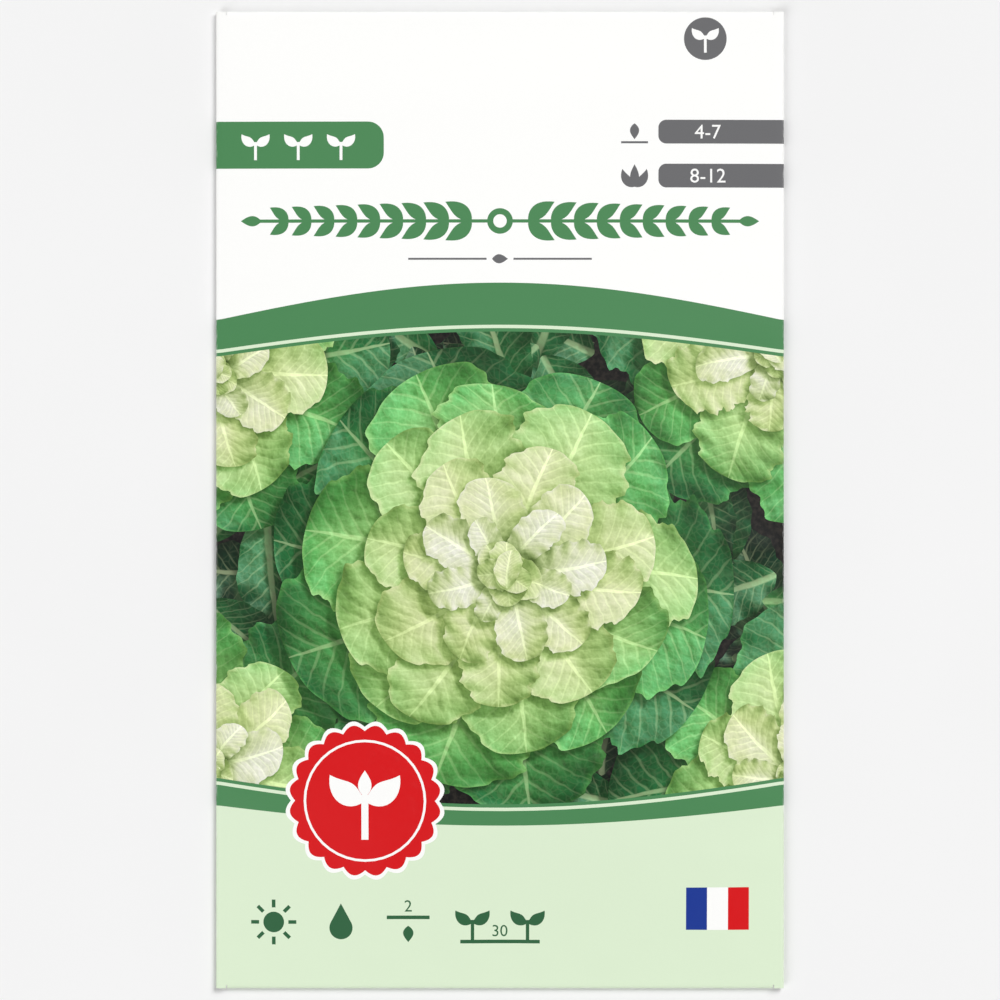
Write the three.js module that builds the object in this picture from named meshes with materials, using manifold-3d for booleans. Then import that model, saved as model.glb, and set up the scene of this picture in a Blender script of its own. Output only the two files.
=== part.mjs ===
// A sealed paper seed packet, lying on its back with the printed front up.
// It is one sheet of coated paper, cut to a blank, folded into a flat pouch and glued, with loose seeds inside.
// Millimetres. +X is across the packet, +Y points to its top edge, +Z comes out of its front.
// The origin is under the middle of the packet, on the surface that it lies on.
import * as THREE from "three";
import { mergeVertices } from "three/addons/utils/BufferGeometryUtils.js";
import Module from "manifold-3d";

const wasm = await Module();
wasm.setup();

// Driving dimensions
const WIDTH = 93; // side fold to side fold
const HEIGHT = 160; // bottom fold to top fold
const PAPER = 0.2; // thickness of the sheet
const GLUE = 0.12; // thickness of a glue film
const GLUE_CLEARANCE = 0.02; // between a glue film and the paper on each side of it
const EDGE_ROOM = 0.15; // free height inside the packet along its flat edges, over the back seam
const BELLY = 3.6; // how far the seeds lift the middle of the front above its edges
const SEAM_X = 8; // middle of the back seam
const SEAM_OVERLAP = 12; // how far one back panel laps over the other
const SEAM_STEP = 3; // width over which the inner back panel climbs onto the outer one
const BOTTOM_FLAP = 14; // length of the flap turned under the bottom
const TOP_FLAP = 18; // length of the flap turned under the top
const FLAP_TAPER = 4; // how much narrower a flap gets on each side, from its fold to its free edge
const CORNER_TAB = 1.2; // flat corner of the front beside each end of a flap's fold
const SLIT = 0.15; // cut between a corner tab and the flap
const SEED_LENGTH = 2.6;
const SEED_WIDTH = 1.3;

// Levels of the middle of the sheet, from the surface upwards
const LAYER = PAPER + GLUE + 2 * GLUE_CLEARANCE; // from one glued layer to the next
const FLAP_Z = PAPER / 2;
const BACK_Z = FLAP_Z + LAYER;
const INNER_BACK_Z = BACK_Z + LAYER;
const EDGE_Z = INNER_BACK_Z + PAPER + EDGE_ROOM; // the front, along its edges

// Folds: half-round, with the middle of the sheet at these radii
const SIDE_RADIUS = (EDGE_Z - BACK_Z) / 2;
const FLAP_RADIUS = (EDGE_Z - FLAP_Z) / 2;
const FOLD_STEPS = 6;
const EAR_STEPS = 2; // rows of a flap's fold that the corner tabs and side folds run past it, flat
const FRONT_X = WIDTH / 2 - PAPER / 2 - SIDE_RADIUS; // where the front ends and the side folds begin
const FRONT_Y = HEIGHT / 2 - PAPER / 2 - FLAP_RADIUS; // where the front ends and the flaps' folds begin

// Lift of the front over the seeds: full at the belly, low at the top, nothing along the edges
const BELLY_FULL_FROM = -44;
const BELLY_FULL_TO = -26;
const BELLY_LOW_FROM = 66;
const TOP_LIFT = 0.14; // share of the belly that is left near the top flap
const TOP_RAMP = 16;

const MERGE = 1e-4; // corners closer than this are one corner
const smooth = THREE.MathUtils.smoothstep;

function frontLift(x, y) {
  const across = 1 - Math.min(1, Math.abs(x) / FRONT_X) ** 3;
  const fromBottom = smooth(y, -FRONT_Y, BELLY_FULL_FROM);
  const toTop = 1 - (1 - TOP_LIFT) * smooth(y, BELLY_FULL_TO, BELLY_LOW_FROM);
  const atTop = 1 - smooth(y, FRONT_Y - TOP_RAMP, FRONT_Y);
  return BELLY * across * fromBottom * toTop * atTop;
}

// Where a point of the flat blank ends up when the sheet is folded, as { point, out }.
// u and v run along the sheet, across and up the front, and out is the printed side's direction.
function folded(u, v, inFlap) {
  const past = { u: Math.abs(u) - FRONT_X, v: Math.abs(v) - FRONT_Y };
  if (inFlap && past.v > 0) return foldedFlap(u, v, past.v);
  if (past.u > 0) return foldedSide(u, v, past.u);
  return {
    point: new THREE.Vector3(u, v, EDGE_Z + frontLift(u, v)),
    out: new THREE.Vector3(0, 0, 1),
  };
}

function foldedSide(u, v, past) {
  const side = Math.sign(u);
  const angle = past / SIDE_RADIUS;
  if (angle <= Math.PI)
    return {
      point: new THREE.Vector3(
        side * (FRONT_X + SIDE_RADIUS * Math.sin(angle)),
        v,
        EDGE_Z - SIDE_RADIUS * (1 - Math.cos(angle)),
      ),
      out: new THREE.Vector3(side * Math.sin(angle), 0, Math.cos(angle)),
    };
  const x = side * (FRONT_X - (past - Math.PI * SIDE_RADIUS));
  const climb = side > 0 ? 1 - smooth(x, SEAM_X + SEAM_OVERLAP / 2, SEAM_X + SEAM_OVERLAP / 2 + SEAM_STEP) : 0;
  return {
    point: new THREE.Vector3(x, v, BACK_Z + LAYER * climb),
    out: new THREE.Vector3(0, 0, -1),
  };
}

function foldedFlap(u, v, past) {
  const end = Math.sign(v);
  const angle = past / FLAP_RADIUS;
  if (angle <= Math.PI)
    return {
      point: new THREE.Vector3(
        u,
        end * (FRONT_Y + FLAP_RADIUS * Math.sin(angle)),
        EDGE_Z - FLAP_RADIUS * (1 - Math.cos(angle)),
      ),
      out: new THREE.Vector3(0, end * Math.sin(angle), Math.cos(angle)),
    };
  const along = past - Math.PI * FLAP_RADIUS;
  const share = along / (end > 0 ? TOP_FLAP : BOTTOM_FLAP);
  const narrowing = 1 - (share * FLAP_TAPER) / (FRONT_X - CORNER_TAB - SLIT);
  return {
    point: new THREE.Vector3(u * narrowing, end * (FRONT_Y - along), FLAP_Z),
    out: new THREE.Vector3(0, 0, -1),
  };
}

// The lines that divide the blank, as stretches of [name, from, to, steps]
function gridLines(stretches) {
  const cells = [];
  for (const [name, from, to, steps] of stretches)
    for (let i = 0; i < steps; i++)
      cells.push({
        name,
        row: i,
        from: from + ((to - from) * i) / steps,
        to: from + ((to - from) * (i + 1)) / steps,
      });
  return cells;
}

const SIDE_ARC = Math.PI * SIDE_RADIUS;
const FLAP_ARC = Math.PI * FLAP_RADIUS;
const leftBack = FRONT_X + SEAM_X + SEAM_OVERLAP / 2; // width of the outer back panel
const rightBack = FRONT_X - SEAM_X + SEAM_OVERLAP / 2; // width of the inner back panel
const rightFlat = rightBack - SEAM_OVERLAP - SEAM_STEP;
const TAB_X = FRONT_X - CORNER_TAB;
const FLAP_X = TAB_X - SLIT;

const columns = gridLines([
  ["back", -FRONT_X - SIDE_ARC - leftBack, -FRONT_X - SIDE_ARC, 2],
  ["side", -FRONT_X - SIDE_ARC, -FRONT_X, FOLD_STEPS],
  ["tab", -FRONT_X, -TAB_X, 1],
  ["slit", -TAB_X, -FLAP_X, 1],
  ["middle", -FLAP_X, FLAP_X, 16],
  ["slit", FLAP_X, TAB_X, 1],
  ["tab", TAB_X, FRONT_X, 1],
  ["side", FRONT_X, FRONT_X + SIDE_ARC, FOLD_STEPS],
  ["back", FRONT_X + SIDE_ARC, FRONT_X + SIDE_ARC + rightFlat, 1],
  ["back", FRONT_X + SIDE_ARC + rightFlat, FRONT_X + SIDE_ARC + rightFlat + SEAM_STEP, 3],
  ["back", FRONT_X + SIDE_ARC + rightFlat + SEAM_STEP, FRONT_X + SIDE_ARC + rightBack, 1],
]);
// Rows of a flap and its fold count outwards from the front.
const rows = gridLines([
  ["front", -FRONT_Y, FRONT_Y, 26],
  ["fold", FRONT_Y, FRONT_Y + FLAP_ARC, FOLD_STEPS],
  ["flap", FRONT_Y + FLAP_ARC, FRONT_Y + FLAP_ARC + TOP_FLAP, 2],
  ["fold", -FRONT_Y, -FRONT_Y - FLAP_ARC, FOLD_STEPS],
  ["flap", -FRONT_Y - FLAP_ARC, -FRONT_Y - FLAP_ARC - BOTTOM_FLAP, 2],
]);

function inBlank(column, row) {
  if (row.name === "front") return true;
  if (column.name === "middle") return true;
  const ear = column.name === "tab" || column.name === "side";
  return ear && row.name === "fold" && row.row < EAR_STEPS;
}

// The folded sheet as one closed surface: printed side, inner side and the cut edges between them
function sheetGeometry() {
  const positions = [];
  const edges = new Map();
  const sides = (u, v, inFlap) => {
    const { point, out } = folded(u, v, inFlap);
    return [0.5, -0.5].map((share) => point.clone().addScaledVector(out, share * PAPER));
  };
  const quad = (a, b, c, d) => {
    for (const corner of [a, b, c, a, c, d]) positions.push(corner.x, corner.y, corner.z);
  };
  for (const column of columns)
    for (const row of rows) {
      if (!inBlank(column, row)) continue;
      const inFlap = column.name === "middle";
      const [low, high] = row.from < row.to ? [row.from, row.to] : [row.to, row.from];
      const corners = [
        [column.from, low],
        [column.to, low],
        [column.to, high],
        [column.from, high],
      ];
      const placed = corners.map(([u, v]) => sides(u, v, inFlap));
      quad(...placed.map(([outer]) => outer));
      quad(...placed.map(([, inner]) => inner).reverse());
      corners.forEach(([u, v], i) => {
        const next = (i + 1) % corners.length;
        const key = (a) => a.map((n) => n.toFixed(5)).join();
        const here = key([u, v]);
        const there = key(corners[next]);
        if (edges.delete(there + "|" + here)) return; // the neighbour's side of the same edge
        edges.set(here + "|" + there, [placed[i], placed[next]]);
      });
    }
  for (const [[outerA, innerA], [outerB, innerB]] of edges.values()) quad(outerA, innerA, innerB, outerB);
  const geometry = new THREE.BufferGeometry();
  geometry.setAttribute("position", new THREE.Float32BufferAttribute(positions, 3));
  return mergeVertices(geometry, MERGE);
}

// Booleans
function solidOf(geometry) {
  const bare = geometry.clone();
  bare.deleteAttribute("normal");
  bare.deleteAttribute("uv");
  const merged = mergeVertices(bare, MERGE);
  const mesh = new wasm.Mesh({
    numProp: 3,
    vertProperties: merged.getAttribute("position").array,
    triVerts: new Uint32Array(merged.index.array),
  });
  return new wasm.Manifold(mesh);
}

function geometryOf(solid) {
  const { vertProperties, triVerts } = solid.getMesh();
  const geometry = new THREE.BufferGeometry();
  geometry.setAttribute("position", new THREE.BufferAttribute(vertProperties, 3));
  geometry.setIndex(new THREE.BufferAttribute(triVerts, 1));
  return geometry;
}

// Seeds: a low bed that fills the belly, with whole seeds standing half out of its top
const BED_Y = -20; // middle of the bed
const BED_ACROSS = 34; // half its width
const BED_ALONG = 42; // half its length
const BED_FLOOR_CLEARANCE = 0.1; // above the back seam
const BED_TOP_CLEARANCE = 0.2; // seeds to the front's inner side
const BED_RIM = 0.3; // least thickness of the bed
const BED_RINGS = 6;
const BED_SECTORS = 28;
const SEEDS = 150;
const SEED_SIDES = 5;
const SEED_POINT = 0.45; // width of the narrow end, as a share of the blunt one
const SEED_TILT = 0.25; // most that a seed leans, in radians
const SEED_REACH = 0.93; // how far out the seeds stand, as a share of the bed's half axes
const SEED_DRAW = 7; // where the seeds' random numbers start
const GOLDEN_ANGLE = Math.PI * (3 - Math.sqrt(5));

const bedFloor = INNER_BACK_Z + PAPER / 2 + BED_FLOOR_CLEARANCE;
const seedProud = SEED_WIDTH / 2;

function bedTop(x, y) {
  const ceiling = EDGE_Z + frontLift(x, y) - PAPER / 2 - BED_TOP_CLEARANCE;
  return Math.max(bedFloor + BED_RIM, ceiling - seedProud);
}

function bedPoint(share, angle) {
  return [BED_ACROSS * share * Math.cos(angle), BED_Y + BED_ALONG * share * Math.sin(angle)];
}

function bedGeometry() {
  const positions = [];
  const corner = (ring, sector, top) => {
    const [x, y] = bedPoint(ring / BED_RINGS, (2 * Math.PI * (sector % BED_SECTORS)) / BED_SECTORS);
    return [x, y, top ? bedTop(x, y) : bedFloor];
  };
  const face = (...corners) => positions.push(...corners.flat());
  for (let sector = 0; sector < BED_SECTORS; sector++) {
    for (let ring = 0; ring < BED_RINGS; ring++) {
      const [a, b, c, d] = [
        corner(ring, sector, true),
        corner(ring + 1, sector, true),
        corner(ring + 1, sector + 1, true),
        corner(ring, sector + 1, true),
      ];
      face(a, b, c);
      if (ring > 0) face(a, c, d);
    }
    const [low, lowNext] = [corner(BED_RINGS, sector, false), corner(BED_RINGS, sector + 1, false)];
    const [high, highNext] = [corner(BED_RINGS, sector, true), corner(BED_RINGS, sector + 1, true)];
    face(low, lowNext, highNext);
    face(low, highNext, high);
    face(corner(0, 0, false), lowNext, low);
  }
  const geometry = new THREE.BufferGeometry();
  geometry.setAttribute("position", new THREE.Float32BufferAttribute(positions, 3));
  return geometry;
}

// Repeatable random numbers from 0 to 1, by a linear congruential rule
const RULE = { times: 1664525, plus: 1013904223, modulus: 2 ** 32 };

function randomFrom(start) {
  let state = start;
  return () => {
    state = (state * RULE.times + RULE.plus) % RULE.modulus;
    return state / RULE.modulus;
  };
}

function seedGeometry(index, random) {
  const share = SEED_REACH * Math.sqrt((index + 0.5) / SEEDS);
  const [x, y] = bedPoint(share, index * GOLDEN_ANGLE);
  const blunt = SEED_WIDTH / 2;
  const seed = new THREE.CylinderGeometry(blunt, blunt * SEED_POINT, SEED_LENGTH, SEED_SIDES);
  const lean = new THREE.Euler(SEED_TILT * (random() - 0.5), SEED_TILT * (random() - 0.5), 2 * Math.PI * random());
  seed.applyMatrix4(new THREE.Matrix4().makeRotationFromEuler(lean));
  return seed.translate(x, y, bedTop(x, y));
}

function seedFillGeometry() {
  const random = randomFrom(SEED_DRAW);
  const seeds = Array.from({ length: SEEDS }, (_, index) => solidOf(seedGeometry(index, random)));
  return geometryOf(seeds.reduce((fill, seed) => fill.add(seed), solidOf(bedGeometry())));
}

// Glue films, each a thin flat strip between two layers of paper
const SEAM_GLUE_WIDTH = 8;
const SEAM_GLUE_END = 3; // how far the seam's glue stops short of the flaps' folds
const FLAP_GLUE_WIDTH = 7;
const FLAP_GLUE_END = 6; // how far a flap's glue stops short of its side edges

function glueStrip(width, length, x, y, paperBelow) {
  const bottom = paperBelow + PAPER / 2 + GLUE_CLEARANCE;
  return new THREE.BoxGeometry(width, length, GLUE).translate(x, y, bottom + GLUE / 2);
}

function flapGlue(end, flapLength) {
  const width = 2 * (FLAP_X - FLAP_TAPER - FLAP_GLUE_END);
  return glueStrip(width, FLAP_GLUE_WIDTH, 0, end * (FRONT_Y - flapLength / 2), FLAP_Z);
}

// Finishes
const printedPaper = new THREE.MeshStandardMaterial({ color: 0xf4f5f0, roughness: 0.45, metalness: 0 });
const driedGlue = new THREE.MeshStandardMaterial({ color: 0xe9e2cf, roughness: 0.35, metalness: 0 });
const seedCoat = new THREE.MeshStandardMaterial({ color: 0x8d7a5c, roughness: 0.8, metalness: 0 });

const packet = new THREE.Group();
packet.name = "seed_packet";

function addPiece(name, geometry, material) {
  const mesh = new THREE.Mesh(geometry, material);
  mesh.name = name;
  packet.add(mesh);
}

addPiece("packet_sheet", sheetGeometry(), printedPaper);
addPiece(
  "glue_back_seam",
  glueStrip(SEAM_GLUE_WIDTH, 2 * (FRONT_Y - SEAM_GLUE_END), SEAM_X, 0, BACK_Z),
  driedGlue,
);
addPiece("glue_bottom_flap", flapGlue(-1, BOTTOM_FLAP), driedGlue);
addPiece("glue_top_flap", flapGlue(1, TOP_FLAP), driedGlue);
addPiece("seed_fill", seedFillGeometry(), seedCoat);

export default packet;
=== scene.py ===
# %% [markdown]
# A sealed paper seed packet
#
# The packet is one sheet of coated paper: printed flat, cut to a blank, folded, glued, and filled with
# loose seeds. This lesson works in the printer's own order. The print is drawn on the flat blank, the blank
# becomes a thin closed slab of paper, and one Geometry Nodes tree folds the slab. Because the fold comes
# last, every printed edge is a real mesh edge and stays sharp however close the camera comes.

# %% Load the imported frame
import math
from dataclasses import dataclass
from functools import partialmethod

import bmesh
import bpy
import numpy as np
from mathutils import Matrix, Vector, bvhtree, geometry, kdtree


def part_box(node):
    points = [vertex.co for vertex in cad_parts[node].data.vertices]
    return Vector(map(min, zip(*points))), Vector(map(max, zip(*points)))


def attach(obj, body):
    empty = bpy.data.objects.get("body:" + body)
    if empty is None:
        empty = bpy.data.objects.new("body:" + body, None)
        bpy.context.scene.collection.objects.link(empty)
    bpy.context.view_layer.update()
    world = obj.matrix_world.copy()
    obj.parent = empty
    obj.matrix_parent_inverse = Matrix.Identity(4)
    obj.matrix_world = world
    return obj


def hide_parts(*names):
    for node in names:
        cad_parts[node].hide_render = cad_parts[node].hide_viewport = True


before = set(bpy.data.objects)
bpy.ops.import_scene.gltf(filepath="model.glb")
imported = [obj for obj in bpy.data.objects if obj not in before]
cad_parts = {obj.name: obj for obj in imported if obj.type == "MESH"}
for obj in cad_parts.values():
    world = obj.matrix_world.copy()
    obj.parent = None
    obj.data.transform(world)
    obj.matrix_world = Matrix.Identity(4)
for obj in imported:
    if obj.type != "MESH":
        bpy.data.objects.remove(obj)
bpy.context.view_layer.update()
print("CAD nodes:", sorted(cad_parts))

# %% [markdown]
# Sizes
#
# The frame gives the packet's outer size and where its glue lies. From those and the paper's thickness we
# can work out the level of every layer of the sheet, and how far the flat front reaches before the folds
# begin. All lengths in this lesson are millimetres, and the node trees turn them into Blender's metres at
# the end.

# %% Sizes of the folded sheet
MM = 0.001
PAPER = 0.2  # thickness of the sheet
GLUE_CLEARANCE = 0.02  # between a glue film and the paper on each side of it
EDGE_ROOM = 0.15  # free height inside the packet along its flat edges
SEAM_OVERLAP = 12.0  # how far one back panel laps over the other
SEAM_STEP = 3.0  # width over which the inner back panel climbs onto the outer one
BOTTOM_FLAP = 14.0
TOP_FLAP = 18.0
FLAP_TAPER = 4.0  # how much narrower a flap gets on each side towards its free edge
CORNER_TAB = 1.2  # flat corner of the front beside each end of a flap's fold
SLIT = 0.15  # cut between a corner tab and the flap


def box_in_mm(node):
    low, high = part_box(node)
    return np.array(low) / MM, np.array(high) / MM


sheet_low, sheet_high = box_in_mm("packet_sheet")
seam_low, seam_high = box_in_mm("glue_back_seam")
WIDTH, HEIGHT = (sheet_high - sheet_low)[:2]
SEAM_X = (seam_low + seam_high)[0] / 2
LAYER = PAPER + (seam_high - seam_low)[2] + 2 * GLUE_CLEARANCE
FLAP_Z = PAPER / 2
BACK_Z = FLAP_Z + LAYER
EDGE_Z = BACK_Z + LAYER + PAPER + EDGE_ROOM
BELLY = sheet_high[2] - PAPER / 2 - EDGE_Z
SIDE_RADIUS = (EDGE_Z - BACK_Z) / 2
FLAP_RADIUS = (EDGE_Z - FLAP_Z) / 2
SIDE_ARC = math.pi * SIDE_RADIUS
FLAP_ARC = math.pi * FLAP_RADIUS
FRONT_X = WIDTH / 2 - PAPER / 2 - SIDE_RADIUS
FRONT_Y = HEIGHT / 2 - PAPER / 2 - FLAP_RADIUS
FOLD_X = FRONT_X + SIDE_ARC  # where the blank's back panels begin
TAB_X = FRONT_X - CORNER_TAB
FLAP_X = TAB_X - SLIT
print(f"packet {WIDTH:.1f} x {HEIGHT:.1f} mm, belly {BELLY:.2f} mm over edges at {EDGE_Z:.2f} mm")

# %% [markdown]
# The blank
#
# Laid flat, the sheet is a cross: the front in the middle, a back panel on each side of it, and a flap
# above and below. Each end of a flap's fold has a short slit, so that the corners of the front can stay
# flat while the flap turns under. We only need the outline's corners. The long edges are divided later.

# %% Outline of the blank
LEFT_EDGE = -FOLD_X - FRONT_X - SEAM_X - SEAM_OVERLAP / 2
RIGHT_EDGE = FOLD_X + FRONT_X - SEAM_X + SEAM_OVERLAP / 2
TOP_EDGE = FRONT_Y + FLAP_ARC + TOP_FLAP
BOTTOM_EDGE = -FRONT_Y - FLAP_ARC - BOTTOM_FLAP
EAR = FLAP_ARC / 3  # how far the corners run past the front, flat
OVERRUN = 1.0  # how far lines and ink run past the cut, so that none stops short of it


def end_outline(sign, edge):
    """One end of the blank from left to right: corner, slit, flap, slit, corner."""
    crease = sign * FRONT_Y
    ear = sign * (FRONT_Y + EAR)
    left = [(LEFT_EDGE, crease), (-FOLD_X, crease), (-FOLD_X, ear), (-TAB_X, ear)]
    left += [(-TAB_X, crease), (-FLAP_X, crease), (-FLAP_X, edge)]
    right = [(-x, y) for x, y in reversed(left[1:])]
    return left + right + [(RIGHT_EDGE, crease)]


blank_outline = np.array(end_outline(-1, BOTTOM_EDGE) + end_outline(1, TOP_EDGE)[::-1])
print(f"blank {RIGHT_EDGE - LEFT_EDGE:.1f} x {TOP_EDGE - BOTTOM_EDGE:.1f} mm, {len(blank_outline)} corners")

# %% [markdown]
# Inks and drawing tools
#
# A printer lays flat areas of ink on white paper. Here each area is a set of closed outlines with one ink,
# and later areas cover earlier ones, as in any drawing program. A few small functions give the outlines:
# circles, tabs with rounded corners, pointed leaflets and straight strokes. Ink colours are written as the
# usual 0 to 255 values and turned into the linear light values that Blender's shaders work with.

# %% Inks
INKS = {
    "paper": (252, 252, 250),
    "green": (75, 135, 85),
    "deep green": (46, 98, 62),
    "mint": (220, 237, 208),
    "grey": (105, 105, 107),
    "red": (214, 8, 16),
    "blue": (22, 54, 146),
    "soil": (24, 21, 17),
}


def linear(rgb):
    """Linear light values of colours that are written as 0 to 255."""
    share = np.asarray(rgb, float) / 255
    return np.where(share <= 0.04045, share / 12.92, ((share + 0.055) / 1.055) ** 2.4)


prints = []


def print_ink(ink, *loops):
    """Adds an area of ink. A place inside two of its loops is a hole."""
    prints.append((ink, [np.asarray(loop, float) for loop in loops]))


def print_each(ink, loops):
    """Adds an area of ink for each loop, so that loops may overlap."""
    for loop in loops:
        print_ink(ink, loop)


print(len(INKS), "inks")

# %% Plain outlines
ROUND_STEPS = 10  # points on a quarter circle


def heading(turn):
    """The direction of a turn in radians, or of many."""
    return np.stack([np.cos(turn), np.sin(turn)], -1)


def leftwards(ahead):
    """Directions a quarter turn to the left of these."""
    return np.stack([-ahead[..., 1], ahead[..., 0]], -1)


def arc(x, y, radius, start, sweep):
    steps = max(2, round(ROUND_STEPS * abs(sweep) / 90) + 1)
    return (x, y) + radius * heading(np.radians(np.linspace(start, start + sweep, steps)))


def disc(x, y, radius):
    return arc(x, y, radius, 0, 360)[:-1]


def tab(x0, y0, x1, y1, left=0.0, right=0.0):
    """A box with its left and right corners rounded to these radii."""
    corners = [(x0 + left, y0 + left, left, 180), (x1 - right, y0 + right, right, 270)]
    corners += [(x1 - right, y1 - right, right, 0), (x0 + left, y1 - left, left, 90)]
    return np.concatenate([arc(x, y, r, start, 90) if r else [(x, y)] for x, y, r, start in corners])


def stroke(x0, y0, x1, y1, width):
    ends = np.array([(x0, y0), (x1, y1)])
    along = ends[1] - ends[0]
    aside = leftwards(along) / np.hypot(*along) * width / 2
    return np.concatenate([ends - aside, ends[::-1] + aside])


def leaflet(x, y, length, width, degrees, bend=0.0, steps=14):
    """A pointed leaf that starts at (x, y) in this direction and turns by bend degrees up to its tip."""
    share = np.linspace(0, 1, steps)
    half = width / 2 * np.sin(math.pi * share**0.85)
    ahead = heading(np.radians(degrees + bend * share))
    strides = (ahead[1:] + ahead[:-1]) / 2 * length / (steps - 1)
    middle = (x, y) + np.concatenate([[(0, 0)], np.cumsum(strides, 0)])
    side = half[:, None] * leftwards(ahead)
    return np.concatenate([middle - side, (middle + side)[-2:0:-1]])


def scalloped(x, y, radius, count, depth):
    """A disc with this many round scallops along its edge."""
    angles = np.linspace(0, 2 * math.pi, 12 * count, endpoint=False)
    reach = radius - depth * (1 - np.abs(np.sin(count * angles / 2)))
    return (x, y) + reach[:, None] * heading(angles)


print("a disc is drawn with", len(disc(0, 0, 1)), "points, a leaflet with", len(leaflet(0, 0, 1, 1, 0)))

# %% Small garden signs
LINE = 0.6  # width of the signs' straight lines


def sprout(x, y, size):
    """Two seed leaves on a stem, as garden packets often show."""
    fork = y + 0.06 * size
    right = leaflet(x, fork, 0.64 * size, 0.33 * size, 8, bend=56)
    left = leaflet(x, fork, 0.64 * size, 0.33 * size, 172, bend=-56)
    return [stroke(x, y - 0.5 * size, x, fork + 0.08 * size, 0.1 * size), right, left]


def seedlings(x, y, apart, size):
    """Two sprouts on a line, for the distance between plants."""
    ground = stroke(x - apart - 2.0, y - size / 2, x + apart + 2.0, y - size / 2, LINE)
    return [ground, *sprout(x - apart, y, size), *sprout(x + apart, y, size)]


def furrow(x, y, half):
    """A seed under a line, for sowing depth."""
    return [stroke(x - half, y + 0.8, x + half, y + 0.8, LINE), leaflet(x, y - 0.6, 2.7, 1.7, -90)]


def head_sign(x, y, size):
    """Three leaves from one foot, for harvest."""
    return [leaflet(x, y, size, 0.4 * size, 90 - lean, bend=0.9 * lean) for lean in (-62, 0, 62)]


def drop(x, y, radius, lean=62):
    """A drop of water: a round foot, and two sides that leave it straight and meet in a tip."""
    foot = y - radius / 2
    tip = foot + radius / math.cos(math.radians(lean))
    return np.concatenate([arc(x, foot, radius, 90 + lean, 360 - 2 * lean), [(x, tip)]])


def sun_sign(x, y, radius, near, far):
    """A disc with eight rays, for a sunny place."""
    ways = heading(np.radians(np.arange(0, 360, 45)))
    rays = [stroke(*((x, y) + near * way), *((x, y) + far * way), LINE) for way in ways]
    return [disc(x, y, radius), *rays]


print("a sun is drawn with", len(sun_sign(0, 0, 1, 2, 3)), "loops")


# %% Plain numbers as outlines
def rim_loops(mesh):
    """The open edges of a flat mesh, joined into loops of points."""
    flat = bmesh.new()
    flat.from_mesh(mesh)
    bmesh.ops.remove_doubles(flat, verts=flat.verts, dist=1e-5)
    rims = {edge for edge in flat.edges if edge.is_boundary}
    while rims:
        first, here = rims.pop().verts
        loop = [first.co.xy]
        while here != first:
            loop.append(here.co.xy)
            edge = next(edge for edge in here.link_edges if edge in rims)
            rims.remove(edge)
            here = edge.other_vert(here)
        yield np.array(loop)
    flat.free()


def number(text, height, x, y):
    """Loops of a number in Blender's own typeface, centred on (x, y)."""
    curve = bpy.data.curves.new("number", "FONT")
    curve.body = text
    curve.resolution_u = 4
    holder = bpy.data.objects.new("number", curve)
    bpy.context.collection.objects.link(holder)
    mesh = bpy.data.meshes.new_from_object(holder.evaluated_get(bpy.context.evaluated_depsgraph_get()))
    loops = list(rim_loops(mesh))
    bpy.data.objects.remove(holder)
    bpy.data.curves.remove(curve)
    bpy.data.meshes.remove(mesh)
    every = np.concatenate(loops)
    low, high = every.min(0), every.max(0)
    return [(loop - (low + high) / 2) * height / (high - low)[1] + (x, y) for loop in loops]


print("a printed 12 has", len(number("12", 2.0, 0, 0)), "loops")

# %% [markdown]
# Where the print lies
#
# The front has a white header, a green band that rises like a hill, a picture of leafy heads, a second band
# that dips, and a mint footer. The bands run on round the side folds and across the back, as a printer does
# so that no white edge shows. Keeping the four dividing lines as functions lets the picture and the bands
# share exactly the same edges.

# %% Lines that divide the print
PICTURE_TOP, TOP_RISE = 23.5, 4.0
PICTURE_BOTTOM, BOTTOM_RISE = -45.5, -4.0
ACROSS = np.concatenate([[LEFT_EDGE - OVERRUN], np.linspace(-FOLD_X, FOLD_X, 121), [RIGHT_EDGE + OVERRUN]])


def hill(level, rise):
    """A line at this level along the packet's sides and on its back, which rises towards the middle."""
    return lambda x: level + rise * np.cos(math.pi / 2 * np.clip(np.abs(x) / FRONT_X, 0, 1))


header_edge = hill(29.5, 6.0)
picture_top = hill(PICTURE_TOP, TOP_RISE)
picture_bottom = hill(PICTURE_BOTTOM, BOTTOM_RISE)
footer_edge = hill(-50.0, -3.0)


def between_lines(upper, lower, across=ACROSS):
    """The area between two lines, as far as across reaches."""
    below, above = (np.stack([across, line(across)], 1) for line in (lower, upper))
    return np.concatenate([below, above[::-1]])


print(f"the picture is {picture_top(0) - picture_bottom(0):.1f} mm tall in the middle")

# %% [markdown]
# The picture of leafy heads
#
# The picture shows loose heads of leaves from above. Each leaf is described by a few numbers: where it
# starts, which way it points, its length and width, and how pale it is. Leaves of one head follow the
# golden angle, as real ones do, with small pale ones on top in the heart and long dark ones underneath.
# Nothing is painted by hand: for any point of the page we can work back to its place on a leaf, along and
# across, and shade it from there.

# %% One leaf of the picture
BASE_POWER = 0.72  # how quickly a leaf widens from its base
OUTLINE_STEP = 0.45  # about how far apart the points of its outline lie
SIDE_LENGTH = 1.3  # length of a leaf's waved side, as a share of the leaf's own


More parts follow.
